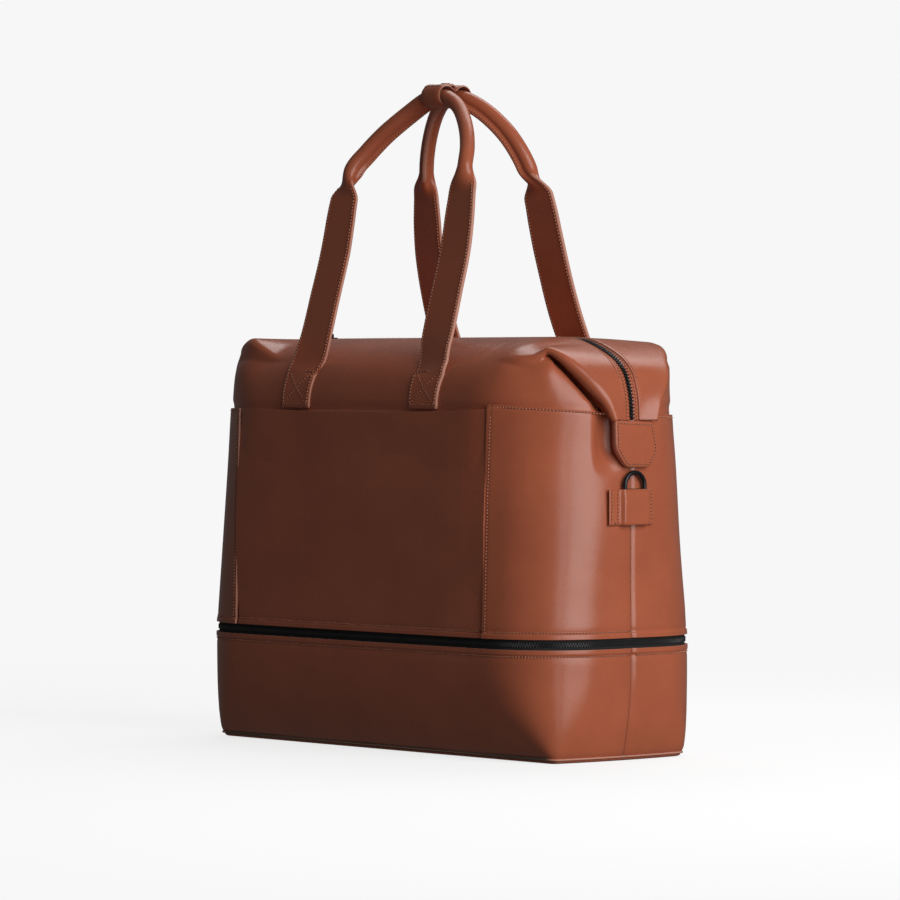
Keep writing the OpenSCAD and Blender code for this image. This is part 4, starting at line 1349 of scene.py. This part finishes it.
def plan_plate(name, z0, thick, d, lumps, materials, body, slot, *nodes, up=True):
    """A plate with the body's outline at height z0, its shown face softly padded."""
    loop = plan_loop(z0, d, 161)
    levels = np.array([1, 0.9925, 0.985, 0.95, 0.9, 0.75, 0.55, 0.35, 0.15])
    edge = np.array([0, 0.6, 0.95, 1, 1, 1, 1, 1, 1])
    sign = 1 if up else -1
    count = len(loop)
    base = z0 if up else z0 + thick
    points = [(x, y, base) for x, y, _ in loop]
    for k, e in zip(levels, edge):
        for x, y, _ in loop:
            puff = lumps * (math.sin(x * k / 41) * math.sin(y * k / 23) + 0.3) * smooth((1 - k) / 0.1)
            points.append((x * k, y * k, base + sign * (thick * (0.4 + 0.6 * e) + puff)))
    points.append((0, 0, base + sign * thick))
    faces = band_faces(len(levels) + 1, count)
    last = len(levels) * count
    faces += [(last + i, last + (i + 1) % count, len(points) - 1) for i in range(count)]
    faces.append(tuple(range(count)))
    obj = new_object(name, points, faces, materials)
    fix_normals(obj)
    return put(obj, body, slot, *nodes)


WELT_Z, WELT_SIDES = 3.4, 10


def make_base():
    plan_plate("base_leather", 0.0, 2.4, 0.6, 0.0, [COGNAC], "tray", "cognac_leather", "base_panel", up=False)
    loop = plan_loop(WELT_Z, -0.1, 301)
    run = unit(np.roll(loop, -1, 0) - np.roll(loop, 1, 0))
    out = np.stack([run[:, 1], -run[:, 0], 0 * run[:, 0]], 1)
    if (out * loop).sum() < 0:
        out = -out
    g = np.linspace(0, 2 * math.pi, WELT_SIDES, endpoint=False)
    points = loop[:, None] + out[:, None] * (np.cos(g) * 0.75 - 0.4)[None, :, None] \
        + np.array([0, 0, 1]) * (np.sin(g) * 0.85)[None, :, None]
    obj = new_object("base_welt_leather", points, grid_faces(len(loop), WELT_SIDES, True, True), [EDGE])
    fix_normals(obj)
    put(obj, "tray", "edge_paint", "base_welt")
    plan_plate("tray_floor_padding", 4.8, 1.6, 5.0, 0.5, [CLOTH], "tray", "lining_cloth", "tray_floor_lining")
    plan_plate("divider_cover", PANEL_FOOT + 0.4, 3.0, 4.6, 0.35, [CLOTH], "main_body", "lining_cloth",
               "divider_board", up=False)


make_gusset()
make_linings()
make_base()

# ---------------------------------------------------------------- parts that keep their modelled shape


def finish_node(node, material):
    """Give a modelled piece its procedural material."""
    obj = bpy.data.objects[node]
    obj.data.materials.clear()
    obj.data.materials.append(material)


for METAL_NODE in ("main_zip_slider", "main_zip_pull", "bottom_zip_slider", "bottom_zip_pull", "snap_cap",
                   "d_ring_right", "d_ring_left"):
    finish_node(METAL_NODE, METAL)
for BOARD_NODE in ("base_board", "handle_backing_patches"):
    finish_node(BOARD_NODE, BOARD)
finish_node("front_panel", COGNAC)

# ---------------------------------------------------------------- finish


BACKDROP = 0.93
FLOOR_SHARE = 0.165
FLOOR_HALF = 15000
SURROUND = 0.09


def light_area(name, place, target, size, power, colour=(1, 1, 1)):
    data = bpy.data.lights.new(name, "AREA")
    data.shape = "RECTANGLE"
    data.size, data.size_y = size
    data.energy = power
    data.color = colour
    lamp = bpy.data.objects.new(name, data)
    bpy.context.scene.collection.objects.link(lamp)
    lamp.location = place
    aim = Vector(target) - Vector(place)
    lamp.rotation_euler = aim.to_track_quat("-Z", "Y").to_euler()


def make_stage():
    """Pale floor and backdrop, a tall soft light off the right end and a dim surround."""
    n = Nodes("stage")
    n.bsdf.inputs["Base Color"].default_value = (0.30, 0.30, 0.30, 1)
    n.bsdf.inputs["Roughness"].default_value = 0.9
    n.bsdf.inputs["Specular IOR Level"].default_value = 0.0
    distance = n.add("ShaderNodeVectorMath")
    distance.operation = "LENGTH"
    n.link(n.coords, distance.inputs[0])
    near = n.add("ShaderNodeMapRange", From_Min=0.5, From_Max=1.5, To_Min=1.0, To_Max=0.0)
    near.interpolation_type = "SMOOTHSTEP"
    n.link(distance.outputs["Value"], near.inputs["Value"])
    glow = n.add("ShaderNodeEmission", Color=(1, 1, 1, 1), Strength=BACKDROP)
    glow_near = n.add("ShaderNodeEmission", Color=(1, 1, 1, 1), Strength=BACKDROP - FLOOR_SHARE)
    both = n.add("ShaderNodeAddShader")
    n.link(n.bsdf.outputs["BSDF"], both.inputs[0])
    n.link(glow_near.outputs["Emission"], both.inputs[1])
    mix = n.add("ShaderNodeMixShader")
    n.link(near.outputs["Result"], mix.inputs["Fac"])
    n.link(glow.outputs["Emission"], mix.inputs[1])
    n.link(both.outputs["Shader"], mix.inputs[2])
    output = n.tree.nodes["Material Output"]
    n.link(mix.outputs["Shader"], output.inputs["Surface"])
    n.material.cycles.emission_sampling = "NONE"
    points = [(x * FLOOR_HALF, y * FLOOR_HALF, 0) for x, y in ((-1, -1), (1, -1), (1, 1), (-1, 1))]
    floor = new_object("floor", points, [(0, 1, 2, 3)], [n.material])
    floor.visible_diffuse = False
    floor.visible_glossy = False
    world = bpy.data.worlds.new("studio")
    world.use_nodes = True
    tree = world.node_tree
    seen = tree.nodes["Background"]
    seen.inputs["Color"].default_value = (1, 1, 1, 1)
    seen.inputs["Strength"].default_value = BACKDROP
    lit = tree.nodes.new("ShaderNodeBackground")
    lit.inputs["Color"].default_value = (1, 1, 1, 1)
    lit.inputs["Strength"].default_value = SURROUND
    path = tree.nodes.new("ShaderNodeLightPath")
    pick = tree.nodes.new("ShaderNodeMixShader")
    tree.links.new(path.outputs["Is Camera Ray"], pick.inputs["Fac"])
    tree.links.new(lit.outputs["Background"], pick.inputs[1])
    tree.links.new(seen.outputs["Background"], pick.inputs[2])
    tree.links.new(pick.outputs["Shader"], tree.nodes["World Output"].inputs["Surface"])
    bpy.context.scene.world = world
    bpy.context.scene.view_settings.view_transform = "Standard"
    light_area("key", (2.2, 0.0, 0.85), (0, 0, 0.22), (1.5, 2.2), 47)
    light_area("strip", (2.06, -1.0, 0.7), (0, 0, 0.22), (0.22, 2.2), 7)
    light_area("top", (-0.5, 0.9, 2.0), (0, 0, 0.3), (1.8, 1.2), 18)


make_stage()
